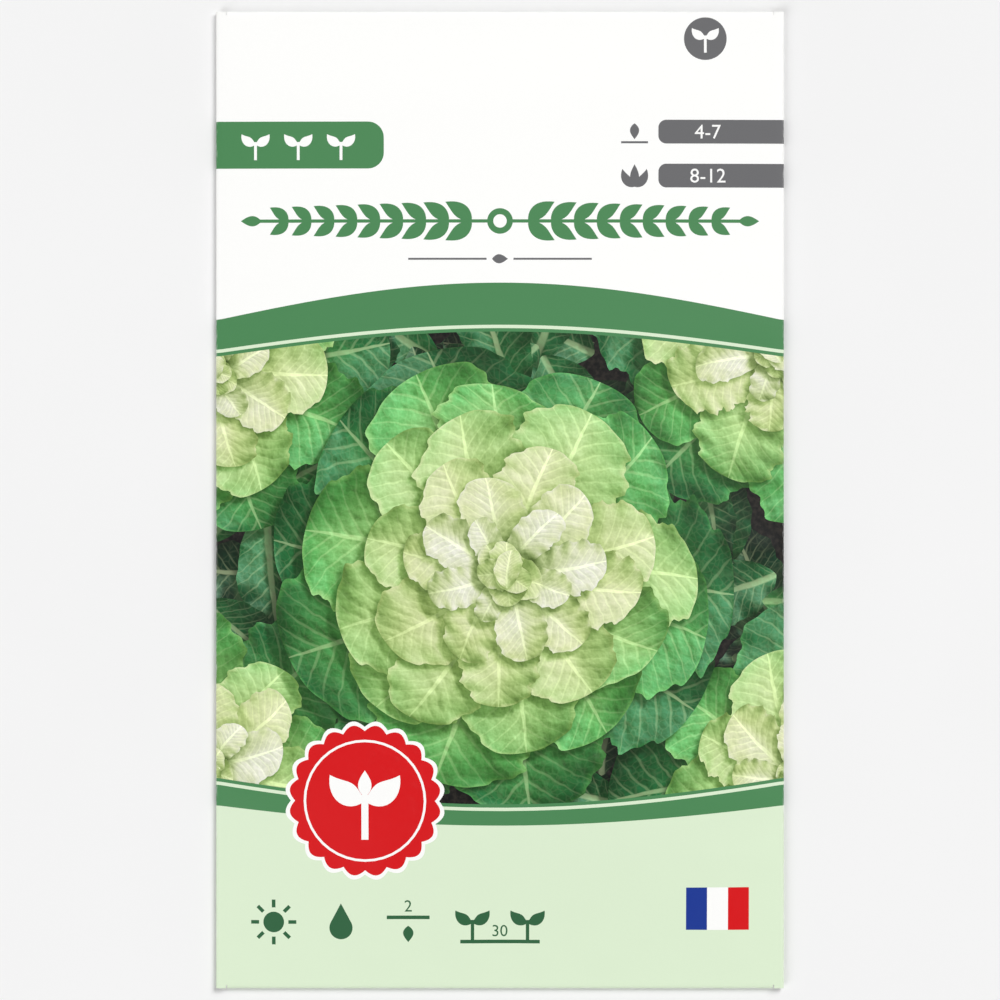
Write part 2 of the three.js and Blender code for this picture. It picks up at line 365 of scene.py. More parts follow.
@dataclass
class PictureLeaf:
    base: np.ndarray  # where it leaves the heart
    turn: float  # the direction that it points in, radians
    length: float
    width: float
    tip: float  # how it ends: under 0.5 broad and blunt, towards 1 pointed
    bend: float  # how far its tip swings aside, as a share of its length
    tone: float  # 0 for a pale heart leaf, 1 for a dark outer one
    rise: float  # slope of the leaf where it leaves the heart
    ruffle: float  # strength of the waves along its margin
    waves: float  # number of those waves
    phase: float

    def place(self, points):
        """How far points of the page lie along the leaf and aside of its midrib."""
        ahead = heading(self.turn)
        along = (points - self.base) @ ahead
        aside = (points - self.base) @ leftwards(ahead)
        return along, aside - self.bend * along**2 / self.length

    def wave_turns(self, share, aside):
        """How far round its waves the margin is, at this share of the length."""
        return 2 * math.pi * self.waves * share + self.phase + 2 * (aside > 0)

    def half_width(self, along, aside):
        """Half of the leaf's width this far along it, with the waves of the margin on that side."""
        share = np.clip(along / self.length, 0, 1)
        widest = BASE_POWER / (BASE_POWER + self.tip)
        body = (share / widest) ** BASE_POWER * ((1 - share) / (1 - widest)) ** self.tip
        turns = self.wave_turns(share, aside)
        wave = np.sin(turns) + 0.45 * np.sin(2.7 * turns + self.phase)
        return self.width / 2 * body * (1 + 0.36 * self.ruffle * wave * share)

    def margin(self, points):
        """About how far inside the leaf points lie. Outside it this is negative."""
        along, aside = self.place(points)
        ends = np.minimum(along, self.length - along)
        return np.minimum(self.half_width(along, aside) - np.abs(aside), ends)

    def outline(self):
        """Points round the leaf, closest together at its two ends."""
        count = max(12, round(self.length * SIDE_LENGTH / OUTLINE_STEP))
        along = self.length * (1 - np.cos(np.linspace(0, math.pi, count))) / 2
        midrib = self.bend * along**2 / self.length
        sides = [np.stack([along, midrib + side * self.half_width(along, side)], 1) for side in (-1, 1)]
        loop = np.concatenate([sides[0], sides[1][-2:0:-1]])
        ahead = heading(self.turn)
        return self.base + loop @ np.stack([ahead, leftwards(ahead)])


print("a leaf has", len(PictureLeaf.__dataclass_fields__), "numbers")

# %% The heads, lowest leaf first
PICTURE_DRAW = 23  # where the picture's random numbers start
GOLDEN_ANGLE = math.pi * (3 - math.sqrt(5))
# Middle, radius and number of leaves of each head, the uppermost head last
HEADS = [(-47, 21, 27, 26), (45, 24, 29, 26), (-48, -44, 29, 26), (49, -46, 28, 26), (1, -12, 38, 46)]
BUD_LEAVES = 7  # small leaves that close each heart
GROUND_LOW, GROUND_HIGH = (-50, -52), (50, 30)  # corners of the area that dark leaves fill
GROUND_LEAVES, GROUND_TONE = 120, 1.3
DEEP_LEAVES, DEEP_TONE = 45, 1.55  # darker ones under those
head_draw = np.random.default_rng(PICTURE_DRAW)
deep_draw = np.random.default_rng(PICTURE_DRAW + 1)


def waved(draw, ruffle, waves):
    """Random waves for a leaf's margin, within these ranges."""
    return {"ruffle": draw.uniform(*ruffle), "waves": draw.uniform(*waves), "phase": draw.uniform(0, 6)}


def ground_leaf(draw, tone):
    """A dark leaf that fills the gap between the heads."""
    return PictureLeaf(
        base=draw.uniform(GROUND_LOW, GROUND_HIGH),
        turn=draw.uniform(0, 2 * math.pi),
        length=draw.uniform(16, 26),
        width=draw.uniform(7, 12),
        tip=0.75,
        bend=draw.uniform(-0.2, 0.2),
        tone=draw.uniform(tone - 0.15, tone + 0.15),
        rise=draw.uniform(0.1, 0.6),
        **waved(draw, ruffle=(0.15, 0.35), waves=(3, 5)),
    )


def head_leaves(draw, x, y, radius, count):
    """The leaves of one head from its outer ones to its heart."""
    start = draw.uniform(0, 2 * math.pi)
    for index in range(count):
        out = 1 - index / count  # 1 for the outermost leaf, towards 0 in the heart
        turn = start + index * GOLDEN_ANGLE + draw.normal(0, 0.09)
        length = radius * (0.2 + 0.8 * out**0.85) * draw.uniform(0.92, 1.08)
        foot = (x, y) + heading(turn) * radius * (0.02 + 0.05 * out)
        yield PictureLeaf(
            base=foot + draw.normal(0, 0.012 * radius, 2),
            turn=turn,
            length=length,
            width=length * draw.uniform(0.72, 0.9) * (0.75 + 0.25 * out),
            tip=0.42,
            bend=draw.uniform(-0.16, 0.16),
            tone=np.clip(out**1.5 + draw.normal(0, 0.05), 0, 1),
            rise=1.15 - 0.85 * out,
            **waved(draw, ruffle=(0.14, 0.3), waves=(3.5, 6.5)),
        )


def bud_leaves(draw, x, y, radius):
    """Small leaves that lean over the middle of a head and close it."""
    for index in range(BUD_LEAVES):
        turn = index * GOLDEN_ANGLE + draw.normal(0, 0.2)
        length = radius * (0.26 - 0.016 * index)
        yield PictureLeaf(
            base=(x, y) - heading(turn) * radius * (0.1 - 0.006 * index),
            turn=turn,
            length=length,
            width=0.72 * length,
            tip=0.5,
            bend=draw.uniform(-0.2, 0.2),
            tone=draw.uniform(0.06, 0.2),
            rise=0.9,
            **waved(draw, ruffle=(0.14, 0.3), waves=(2, 4)),
        )


leaves = [ground_leaf(deep_draw, DEEP_TONE) for _ in range(DEEP_LEAVES)]
leaves += [ground_leaf(head_draw, GROUND_TONE) for _ in range(GROUND_LEAVES)]
for x, y, radius, count in HEADS:
    leaves += head_leaves(head_draw, x, y, radius, count)
    leaves += bud_leaves(deep_draw, x, y, radius)
print(len(leaves), "leaves in the picture")

# %% [markdown]
# Only what shows is drawn
#
# Most of a leaf's outline lies under other leaves or beyond the picture's frame. Leaving those stretches
# out keeps the mesh light and free of edges that separate nothing. A point is hidden when it lies well
# inside a later leaf.

# %% The stretches of the leaves' outlines that show
HIDDEN_BY = 0.12  # how far inside a later leaf a point is hidden
FRAME_MARGIN = 0.5  # how far past the picture's frame outlines are kept


def in_picture(points, beyond=0.0):
    """Which points lie in the picture, or no farther than this beyond it."""
    x, y = points.T
    level = (y < picture_top(x) + beyond) & (y > picture_bottom(x) - beyond)
    return level & (np.abs(x) < FOLD_X + beyond)


outlines = [leaf.outline() for leaf in leaves]
counts = np.array([len(outline) for outline in outlines])
firsts = np.cumsum(counts) - counts
margin_points = np.concatenate(outlines)
following = np.concatenate([first + np.roll(np.arange(count), -1) for first, count in zip(firsts, counts)])
owner = np.repeat(np.arange(len(leaves)), counts)
shown = in_picture(margin_points, FRAME_MARGIN)
for index, leaf in enumerate(leaves):
    maybe = np.flatnonzero(shown & (owner < index))
    shown[maybe[leaf.margin(margin_points[maybe]) > HIDDEN_BY]] = False
shown |= shown[following]
leaf_edges = np.stack([margin_points[shown], margin_points[following[shown]]], 1)
print(len(leaf_edges), "short edges of leaves show")

# %% [markdown]
# Areas of ink
#
# Now the flat print. The header holds coloured tabs with month numbers for sowing and harvest, and a long
# sprig below them. The footer holds a round seal, small signs for sun, water, depth and spacing, and a
# three-coloured flag. Anything that touches the side of the packet bleeds a few millimetres round the fold.

# %% Bands, picture ground and footer
KEYLINE = 0.55  # width of a thin pale line in a band, and of the green left outside it
print_ink("soil", between_lines(picture_top, picture_bottom, ACROSS[1:-1]))
BANDS = [
    (header_edge, picture_top, PICTURE_TOP + KEYLINE, TOP_RISE),
    (picture_bottom, footer_edge, PICTURE_BOTTOM - 2 * KEYLINE, BOTTOM_RISE),
]
for upper, lower, level, rise in BANDS:
    print_ink("green", between_lines(upper, lower))
    print_ink("mint", between_lines(hill(level + KEYLINE, rise), hill(level, rise)))
print_ink("mint", between_lines(footer_edge, hill(BOTTOM_EDGE - OVERRUN, 0.0)))
print(len(prints), "areas right across the blank")

# %% Header: family tab, disc and month tabs
BLEED = 4.0  # how far an edge colour runs on round a side fold
FAMILY_TAB = (-FOLD_X - BLEED, 54.2, -19.0, 61.9)
FAMILY_SPROUTS = [(-40.0, 57.9), (-33.0, 57.9), (-26.0, 57.9)]
DISC_X, DISC_Y, DISC_RADIUS = 33.6, 75.5, 3.5
MONTH_TABS = {"4-7": 60.25, "8-12": 53.05}  # sowing months, then harvest months
MONTH_X, MONTH_HALF = 25.9, 1.95  # where the month tabs begin, and half their height
NUMBER_X, NUMBER_HEIGHT = 34.0, 2.3
SIGN_X = 22.0  # the signs beside those tabs
SOIL_Y, HEAD_Y = 58.5, 51.2  # the line that the seed falls on, and the foot of the harvested head
print_ink("green", tab(*FAMILY_TAB, right=2.6))
for x, y in FAMILY_SPROUTS:
    print_each("paper", sprout(x, y, size=4.6))
print_ink("grey", disc(DISC_X, DISC_Y, DISC_RADIUS))
print_each("paper", sprout(DISC_X, DISC_Y - 0.1, size=4.4))
for months, y in MONTH_TABS.items():
    print_ink("grey", tab(MONTH_X, y - MONTH_HALF, FOLD_X + BLEED, y + MONTH_HALF, left=1.3))
    print_ink("paper", *number(months, NUMBER_HEIGHT, NUMBER_X, y))
print_ink("grey", leaflet(SIGN_X, SOIL_Y + 3.1, 2.6, 1.5, -90))
print_ink("grey", stroke(SIGN_X - 2.2, SOIL_Y, SIGN_X + 2.2, SOIL_Y, 0.35))
print_each("grey", head_sign(SIGN_X, HEAD_Y, size=3.7))
print(len(prints), "areas with the header's tabs")

# %% Header: sprig and rule
SPRIG_Y, SPRIG_REACH = 45.6, 39.8  # its stem, and how far that runs to each side
SPRIG_PAIRS = 9
SPRIG_LEAN = 48  # degrees between a leaf and the stem
RULE_Y, RULE_REACH = 39.4, 15.0


def print_sprig(x, y, size):
    """A straight sprig with leaves in pairs, the same to both sides of a ring."""
    half = [stroke(0.0, 0.0, SPRIG_REACH, 0.0, 0.55), leaflet(SPRIG_REACH - 0.8, 0.0, 3.4, 1.7, 0)]
    for pair in range(SPRIG_PAIRS):
        length, width = 5.4 - 0.2 * pair, 2.4 - 0.08 * pair
        for lean in (SPRIG_LEAN, -SPRIG_LEAN):
            half.append(leaflet(4.6 + 3.75 * pair, 0.0, length, width, lean, bend=-0.5 * lean))
    for loop in half:
        print_each("green", [loop * (size, size) + (x, y), loop * (-size, size) + (x, y)])
    print_ink("green", disc(x, y, 2.1 * size))
    print_ink("paper", disc(x, y, 1.1 * size))


def print_rule(x, y, reach):
    """A thin line with a small leaf in its middle."""
    for side in (-1, 1):
        print_ink("grey", stroke(x + side * 2.2, y, x + side * reach, y, 0.32))
    print_ink("grey", leaflet(x - 1.3, y, 2.6, 1.5, 0))


print_sprig(0.0, SPRIG_Y, size=1.0)
print_rule(0.0, RULE_Y, RULE_REACH)
print(len(prints), "areas with the sprig and the rule")

# %% Footer: seal, signs and flag
SEAL_X, SEAL_Y, SEAL_RADIUS = -22.0, -49.0, 12.4
SEAL_RIM = 0.7  # width of the white line round it
SCALLOPS, SCALLOP_DEPTH = 20, 1.0
RING_OUTSIDE, RING_INSIDE = 10.0, 9.6  # radii of the thin ring on it
SIGNS_Y = -69.0
SUN_X, DROP_X, DEPTH_X, SPACING_X = -37.0, -26.0, -15.0, 0.0
CENTIMETRES = 1.9  # height of the numbers for depth and spacing
FLAG = (30.4, -70.3, 40.7, -63.3)
print_ink("paper", scalloped(SEAL_X, SEAL_Y, SEAL_RADIUS + SEAL_RIM, SCALLOPS, SCALLOP_DEPTH))
print_ink("red", scalloped(SEAL_X, SEAL_Y, SEAL_RADIUS, SCALLOPS, SCALLOP_DEPTH))
print_ink("paper", disc(SEAL_X, SEAL_Y, RING_OUTSIDE), disc(SEAL_X, SEAL_Y, RING_INSIDE))
print_each("paper", sprout(SEAL_X, SEAL_Y - 0.6, size=11.5))
print_ink("paper", leaflet(SEAL_X, SEAL_Y + 0.6, 4.4, 2.2, 90))

print_each("deep green", sun_sign(SUN_X, SIGNS_Y, 1.7, near=2.4, far=3.7))
print_ink("deep green", drop(DROP_X, SIGNS_Y, 1.9))
print_each("deep green", furrow(DEPTH_X, SIGNS_Y, 3.5))
print_each("deep green", seedlings(SPACING_X, SIGNS_Y - 0.4, 4.5, 5.6))
print_ink("deep green", *number("30", CENTIMETRES, SPACING_X, SIGNS_Y - 1.4))
print_ink("deep green", *number("2", CENTIMETRES, DEPTH_X, SIGNS_Y + 2.7))

flag_left, flag_bottom, flag_right, flag_top = FLAG
stripe = (flag_right - flag_left) / 3
for index, ink in enumerate(("blue", "paper", "red")):
    left = flag_left + index * stripe
    print_ink(ink, tab(left, flag_bottom, left + stripe, flag_top))
print(len(prints), "areas with the footer")

# %% Back: months, four steps and a field for a stamp on the wide panel
PANEL_X = (LEFT_EDGE - FOLD_X) / 2
MONTH_STEP = 4.3
MONTH_TILE = (3.9, 4.0)
BACK_SPRIG_Y, SOWING_Y, HARVEST_Y = 15.0, 5.0, 0.4
SOWING, HARVEST = range(4, 8), range(8, 13)
STEP_TILE, STEP_GAP, STEP_Y = 11.6, 1.73, -11.5
FIELD = np.array([PANEL_X - 16.0, -35.0, PANEL_X + 16.0, -24.0])
FIELD_LINE = 0.3


def tile(x, y, width, height, corner):
    """A box about (x, y) with round corners."""
    return tab(x - width / 2, y - height / 2, x + width / 2, y + height / 2, left=corner, right=corner)


for month in range(1, 13):
    x = PANEL_X + MONTH_STEP * (month - 6.5)
    print_ink("green" if month in SOWING else "mint", tile(x, SOWING_Y, *MONTH_TILE, corner=0.6))
    print_ink("paper" if month in SOWING else "deep green", *number(str(month), 1.8, x, SOWING_Y))
    print_ink("red" if month in HARVEST else "mint", tile(x, HARVEST_Y, *MONTH_TILE, corner=0.6))
print_sprig(PANEL_X, BACK_SPRIG_Y, size=0.62)
steps = [furrow(0, 0, 3.6), [drop(0, 0, 2.3)], seedlings(0, 0, 2.5, 3.9), head_sign(0, -3.0, 5.6)]
for index, loops in enumerate(steps):
    x = PANEL_X + (STEP_TILE + STEP_GAP) * (index - 1.5)
    print_ink("mint", tile(x, STEP_Y, STEP_TILE, STEP_TILE, corner=1.4))
    print_each("deep green", [loop + (x, STEP_Y) for loop in loops])
print_ink("grey", tab(*FIELD), tab(*(FIELD + FIELD_LINE * np.array([1, 1, -1, -1]))))
print(len(prints), "areas of ink")

# %% [markdown]
# From print to mesh
#
# A constrained Delaunay triangulation joins scattered points into triangles and keeps every line that it is
# given. We give it the blank's outline, the fold lines, every edge of ink and every edge of a leaf, and
# scatter extra points so that the paper can bend smoothly: fine ones under the picture, coarser ones
# elsewhere. Then each triangle is wholly in one ink, and the fold can bend the sheet without a ragged edge.

# %% Lines that the mesh has to follow
SIDE_STEPS = 8
FLAP_STEPS = 10
LONGEST_EDGE = 1.0
SIDE_FOLD = FRONT_X + SIDE_ARC * np.arange(SIDE_STEPS + 1) / SIDE_STEPS
FLAP_FOLD = FRONT_Y + FLAP_ARC * np.arange(FLAP_STEPS + 1) / FLAP_STEPS
SEAM_FROM = SEAM_X + SEAM_OVERLAP / 2  # where the inner back panel begins to climb
SEAM_CLIMB = FOLD_X + FRONT_X - SEAM_FROM - SEAM_STEP * np.arange(5) / 4
FOLD_COLUMNS = np.concatenate([-SIDE_FOLD, SIDE_FOLD, SEAM_CLIMB])
FOLD_ROWS = np.concatenate([-FLAP_FOLD, FLAP_FOLD])


def segments(chain, closed=True):
    """A chain of points as short edges, none longer than LONGEST_EDGE."""
    ends = np.roll(chain, -1, 0) if closed else chain[1:]
    for start, end in zip(chain, ends):
        pieces = max(1, math.ceil(np.hypot(*(end - start)) / LONGEST_EDGE))
        steps = start + np.outer(np.linspace(0, 1, pieces + 1), end - start)
        yield from zip(steps[:-1], steps[1:])


def fold_lines():
    """The lines along which the sheet bends."""
    tall = FRONT_Y + EAR + OVERRUN
    for x in FOLD_COLUMNS:
        yield np.array([(x, -tall), (x, tall)])
    wide = FLAP_X + SLIT / 2
    for y in FOLD_ROWS:
        yield np.array([(-wide, y), (wide, y)])


edges = list(segments(blank_outline))
for line in fold_lines():
    edges += segments(line, closed=False)
for _, loops in prints:
    for loop in loops:
        edges += segments(loop)
edges = np.concatenate([np.array(edges), leaf_edges]).round(4)
print(len(edges), "edges to follow")

# %% Extra points between the lines
FINE_STEP = 0.5  # under the picture
FRONT_STEP = 1.1
BACK_STEP = 2.4
CLEARANCE = 0.45  # how near to a line a point may lie, as a share of the step
PICTURE_ROWS = (-55.0, 35.0)  # levels that the picture lies well within


def scattered(x0, y0, x1, y1, step):
    """Points in rows that are set off by half a step, which gives even triangles."""
    rows = np.arange(y0 + step / 2, y1, step * 0.87)
    columns = np.arange(x0 + step / 2, x1, step)
    return np.array([(x + step / 2 * (i % 2), y) for i, y in enumerate(rows) for x in columns])


def clear_of(lines, points, step):
    """The points that aren't close to any of these short edges."""
    finder = kdtree.KDTree(2 * len(lines))
    for i, (start, end) in enumerate(lines):
        finder.insert((*start, 0), 2 * i)
        finder.insert((*(start + end) / 2, 0), 2 * i + 1)
    finder.balance()
    return np.array([p for p in points if finder.find((*p, 0))[2] > CLEARANCE * step])


front = scattered(-FRONT_X, -FRONT_Y, FRONT_X, FRONT_Y, FRONT_STEP)
picture = scattered(-FRONT_X, PICTURE_ROWS[0], FRONT_X, PICTURE_ROWS[1], FINE_STEP)
back = scattered(LEFT_EDGE, BOTTOM_EDGE, RIGHT_EDGE, TOP_EDGE, BACK_STEP)
off_front = (np.abs(back[:, 0]) > FOLD_X) | (np.abs(back[:, 1]) > FRONT_Y + FLAP_ARC)
extra = [
    clear_of(edges, front[~in_picture(front)], FRONT_STEP),
    clear_of(edges, picture[in_picture(picture)], FINE_STEP),
    clear_of(edges, back[off_front], BACK_STEP),
]
print([len(points) for points in extra], "points scattered")

# %% Triangles of the printed side
NEARNESS = 1e-5  # points closer than this become one


def within(points, loops):
    """Which points lie inside an odd number of the loops."""
    odd = np.zeros(len(points), bool)
    for loop in loops:
        near = np.flatnonzero(((points > loop.min(0)) & (points < loop.max(0))).all(1))
        x, y = points[near].T
        inside = np.zeros(len(near), bool)
        for (x0, y0), (x1, y1) in zip(loop, np.roll(loop, -1, 0)):
            if y0 != y1:
                inside ^= ((y0 > y) != (y1 > y)) & (x < x0 + (x1 - x0) * (y - y0) / (y1 - y0))
        odd[near] ^= inside
    return odd


def triangulated(points, lines):
    """Triangles of the blank along these lines: points, corners, and which given points each point was."""
    found = geometry.delaunay_2d_cdt([Vector(p) for p in points], lines.tolist(), [], 0, NEARNESS, True)
    places = np.array([p[:] for p in found[0]])
    corners = np.array(found[2])
    corners = corners[within(places[corners].mean(1), [blank_outline])]
    first, second, third = (places[corners[:, k]] for k in range(3))
    (ax, ay), (bx, by) = (second - first).T, (third - first).T
    turned = ax * by < ay * bx
    corners[turned] = corners[turned][:, ::-1]
    used, corners = np.unique(corners, return_inverse=True)
    return places[used], corners.reshape(-1, 3), [found[3][i] for i in used]


line_points, line_ends = np.unique(edges.reshape(-1, 2), axis=0, return_inverse=True)
all_points = np.concatenate([line_points, *extra])
outer_points, outer_corners, _ = triangulated(all_points, line_ends.reshape(-1, 2))
print(len(outer_corners), "triangles on the printed side")

# %% [markdown]
# Light and shade in the picture
#
# A picture of leaves looks solid when its tones do. Each leaf rises from the heart, turns down at its tip,
# folds a little along its midrib and waves at its margin, so we know its slope everywhere and how squarely
# the sun meets it. Leaves that lie above cast a soft shadow to one side and darken the gap that they close.
# All of this goes into the ink's colour, corner by corner, because on a real packet it is ink, and the
# packet's own light comes on top.

# %% Which ink and which leaf each triangle shows
middles = outer_points[outer_corners].mean(1)
ink_names = list(INKS)
SOIL = ink_names.index("soil")
face_ink = np.full(len(middles), ink_names.index("paper"))
for ink, loops in prints:
    face_ink[within(middles, loops)] = ink_names.index(ink)
picture_faces = np.flatnonzero(face_ink == SOIL)
face_leaf = np.full(len(middles), -1)
for index, leaf in enumerate(leaves):
    face_leaf[picture_faces[leaf.margin(middles[picture_faces]) > 0]] = index
bare_faces = (face_leaf[picture_faces] < 0).sum()
print((face_leaf >= 0).sum(), "triangles show leaves and", bare_faces, "show soil")

# %% Tones of a leaf
SUN = np.array([0.5, 0.6, 0.8])  # the way to the sun
SUN /= np.linalg.norm(SUN)
SHEEN = 0.07 * np.array([0.5, 1.0, 0.6])  # the light that a waxy leaf throws back
GREENS = linear([
    (236, 247, 196), (216, 236, 160), (166, 210, 126), (86, 161, 80), (30, 98, 48), (9, 48, 27), (4, 24, 14)
])  # from a heart leaf to one that lies deep under the others
GREEN_STEPS = np.array([0.0, 0.22, 0.48, 0.72, 1.0, 1.4, 1.8])
KEEL = 0.34  # slope of each half of a leaf away from its midrib
CUP = 0.25  # how much that slope grows towards the margin


def smoothstep(low, high, value):
    share = np.clip((value - low) / (high - low), 0, 1)
    return share * share * (3 - 2 * share)


def leaf_tones(leaf, points):
    """Colour before shade, how squarely the sun meets it, place on the leaf, and the sun seen from it."""
    along, aside = leaf.place(points)
    half = np.maximum(leaf.half_width(along, aside), 0.4)
    share = np.clip(along / leaf.length, 0, 1)
    across = np.clip(aside / half, -1, 1)
    # A leaf is greener towards its tip and margin, with a thin pale rim
    green = 0.8 * leaf.tone + (0.12 + 0.3 * leaf.tone) * share**1.4 + 0.1 * np.abs(across) - 0.06
    green -= 0.16 * smoothstep(0.86, 1, np.abs(across)) * share
    colour = np.stack([np.interp(green, GREEN_STEPS, channel) for channel in GREENS.T], 1)
    turns = leaf.wave_turns(share, aside)
    slope_along = leaf.rise * (1 - 1.75 * share) + 2.6 * leaf.ruffle * across**2 * np.cos(turns)
    slope_aside = KEEL * np.tanh(5 * across) + CUP * across
    slope_aside += 1.6 * leaf.ruffle * across * np.abs(across) * np.sin(turns)
    directions = np.stack([heading(leaf.turn), leftwards(heading(leaf.turn))])
    tilt = np.stack([slope_along, slope_aside], 1) @ directions
    facing = (SUN[2] - tilt @ SUN[:2]) / np.sqrt(1 + (tilt**2).sum(1))
    facing = np.clip(facing, 0, None) / SUN[2]
    colour += leaf.tone * smoothstep(1.04, 1.24, facing)[:, None] * SHEEN
    place = np.stack([along, aside, np.full_like(along, leaf.length)], 1)
    sun_on_leaf = np.tile(directions @ SUN[:2], (len(points), 1))
    return colour, facing, place, np.column_stack([sun_on_leaf, across])


print(len(GREENS), "greens from", GREENS[0].round(2), "to", GREENS[-1].round(3))

# %% Sun and shadow on every printed corner
SHADOW_SOFT = 0.7
SHADOW_DEPTH = 0.82
CLOSE = 3.2  # how far off a leaf still darkens the gap beside it
CLOSED_SHADE = 0.3  # how much light it takes away there
LEAF_RISE = 0.2  # height of a leaf over the one before it
corner_points = outer_points[outer_corners].reshape(-1, 2)
corner_leaf = np.repeat(face_leaf, 3)
corner_ink = np.repeat(face_ink, 3)
ink_colour = np.ones((len(corner_points), 4))
ink_colour[:, :3] = linear([INKS[name] for name in ink_names])[corner_ink]
leaf_at = np.zeros((len(corner_points), 3))  # along and aside of the midrib, and the leaf's length
leaf_lit = np.zeros((len(corner_points), 3))  # the sun along and aside, and the place across the leaf
facing_sun = np.zeros(len(corner_points))
shadow = np.zeros(len(corner_points))
opening = np.ones(len(corner_points))


def shade_below(index, leaf):
    """Lets a leaf cast its shadow on the leaves under it, and darken the gap that it closes."""
    middle = leaf.base + leaf.length / 2 * heading(leaf.turn)
    near = np.hypot(*(corner_points - middle).T) < 0.8 * leaf.length + CLOSE
    below = np.flatnonzero((corner_leaf >= 0) & (corner_leaf < index) & near)
    height = np.clip(LEAF_RISE * (index - corner_leaf[below]), 0.6, 3.0)
    towards_sun = corner_points[below] + np.outer(height, SUN[:2] / SUN[2])
    cover = smoothstep(-SHADOW_SOFT, SHADOW_SOFT, leaf.margin(towards_sun))
    shadow[below] = np.maximum(shadow[below], SHADOW_DEPTH * cover)
    opening[below] *= 1 - CLOSED_SHADE * smoothstep(-CLOSE, 0.4, leaf.margin(corner_points[below]))


for index, leaf in enumerate(leaves):
    own = np.flatnonzero(corner_leaf == index)
    ink_colour[own, :3], facing_sun[own], leaf_at[own], leaf_lit[own] = leaf_tones(leaf, corner_points[own])
    shade_below(index, leaf)
print(f"shadow covers {(shadow[corner_leaf >= 0] > 0.4).mean():.0%} of the leaves")

# %% Colour of every printed corner
SKY, SUNSHINE = 0.34, 0.82
SHADE_TINT = np.array([1.08, 0.9, 1.4])  # shade on a leaf turns greener, because light comes through it
LIGHTEST = 0.8  # of the light that falls on it, in the picture's palest spots
on_leaf = corner_leaf >= 0
shade = SKY * opening + SUNSHINE * facing_sun * (1 - shadow) * (0.4 + 0.6 * opening)
shade = shade[on_leaf, None]
leaf_colour = ink_colour[on_leaf, :3] * np.minimum(shade, 1) ** SHADE_TINT * np.maximum(shade, 1)
ink_colour[on_leaf, :3] = leaf_colour / (1 + (leaf_colour / LIGHTEST) ** 4) ** 0.25
ink_colour[on_leaf, 3] = shade[:, 0]
leaf_at[(corner_ink == SOIL) & ~on_leaf, 2] = -1.0  # marks bare soil
print(f"leaf tones from {shade.min():.2f} to {shade.max():.2f}")

# %% [markdown]
# A thin slab of paper
#
# The printed side is a skin. Real paper has an inner side and cut edges too, so the blank becomes a closed
# slab: the printed triangles on top, a coarser plain side underneath that shares the same rim and fold
# lines, and a narrow wall of paper along every cut edge.

# %% The inner side, with the same rim
ON_LINE = 2e-4  # how far a point may lie off a fold line and still count as on it
INNER_STEP = 2.0
every_edge = np.concatenate([outer_corners[:, [k, (k + 1) % 3]] for k in range(3)])
edge_codes = every_edge @ (len(outer_points), 1)
rim = every_edge[~np.isin(edge_codes, every_edge[:, ::-1] @ (len(outer_points), 1))]


def along_lines(axis, values):
    """Which edges lie on one of the fold lines."""
    start, end = outer_points[every_edge, axis].T
    return (np.abs(start - end) < ON_LINE) & (np.abs(start[:, None] - values).min(1) < ON_LINE)


folds = every_edge[along_lines(0, FOLD_COLUMNS) | along_lines(1, FOLD_ROWS)]
inner_edges = np.concatenate([rim, folds])
shared, inner_lines = np.unique(inner_edges, return_inverse=True)
plain = scattered(LEFT_EDGE, BOTTOM_EDGE, RIGHT_EDGE, TOP_EDGE, INNER_STEP)
plain = clear_of(outer_points[inner_edges], plain, INNER_STEP)
all_points = np.concatenate([outer_points[shared], plain])
inner_points, inner_corners, sources = triangulated(all_points, inner_lines.reshape(-1, 2))
print(len(inner_corners), "triangles on the inner side,", len(rim), "edges round the rim")

# %% The slab as one closed mesh
inner_of = {shared[s[0]]: len(outer_points) + i for i, s in enumerate(sources) if s and s[0] < len(shared)}
walls = [(b, a, inner_of[a], inner_of[b]) for a, b in rim.tolist()]
heights = np.repeat([PAPER / 2, -PAPER / 2], [len(outer_points), len(inner_points)])
slab_points = np.column_stack([np.concatenate([outer_points, inner_points]), heights])
inner_faces = len(outer_points) + inner_corners[:, ::-1]
slab = bpy.data.meshes.new("printed_sheet")
slab.from_pydata(slab_points, [], outer_corners.tolist() + inner_faces.tolist() + walls)
printed_loops = slice(0, 3 * len(outer_corners))
inner_loops = slice(printed_loops.stop, printed_loops.stop + 3 * len(inner_corners))
wall_loops = slice(inner_loops.stop, len(slab.loops))
print(len(slab.vertices), "points and", len(slab.polygons), "faces in the slab")


# %% What the slab's faces carry
def corner_attribute(name, kind, key, values, rest):
    """Stores values at the printed corners and the same rest value at all others."""
    filled = np.tile(np.asarray(rest, float), (len(slab.loops), 1))
    filled[printed_loops] = values
    slab.attributes.new(name, kind, "CORNER").data.foreach_set(key, filled.ravel())


def loop_numbers(key):
    """A whole number of every face corner: its point or its edge."""
    numbers = np.zeros(len(slab.loops), np.int32)
    slab.loops.foreach_get(key, numbers)
    return numbers


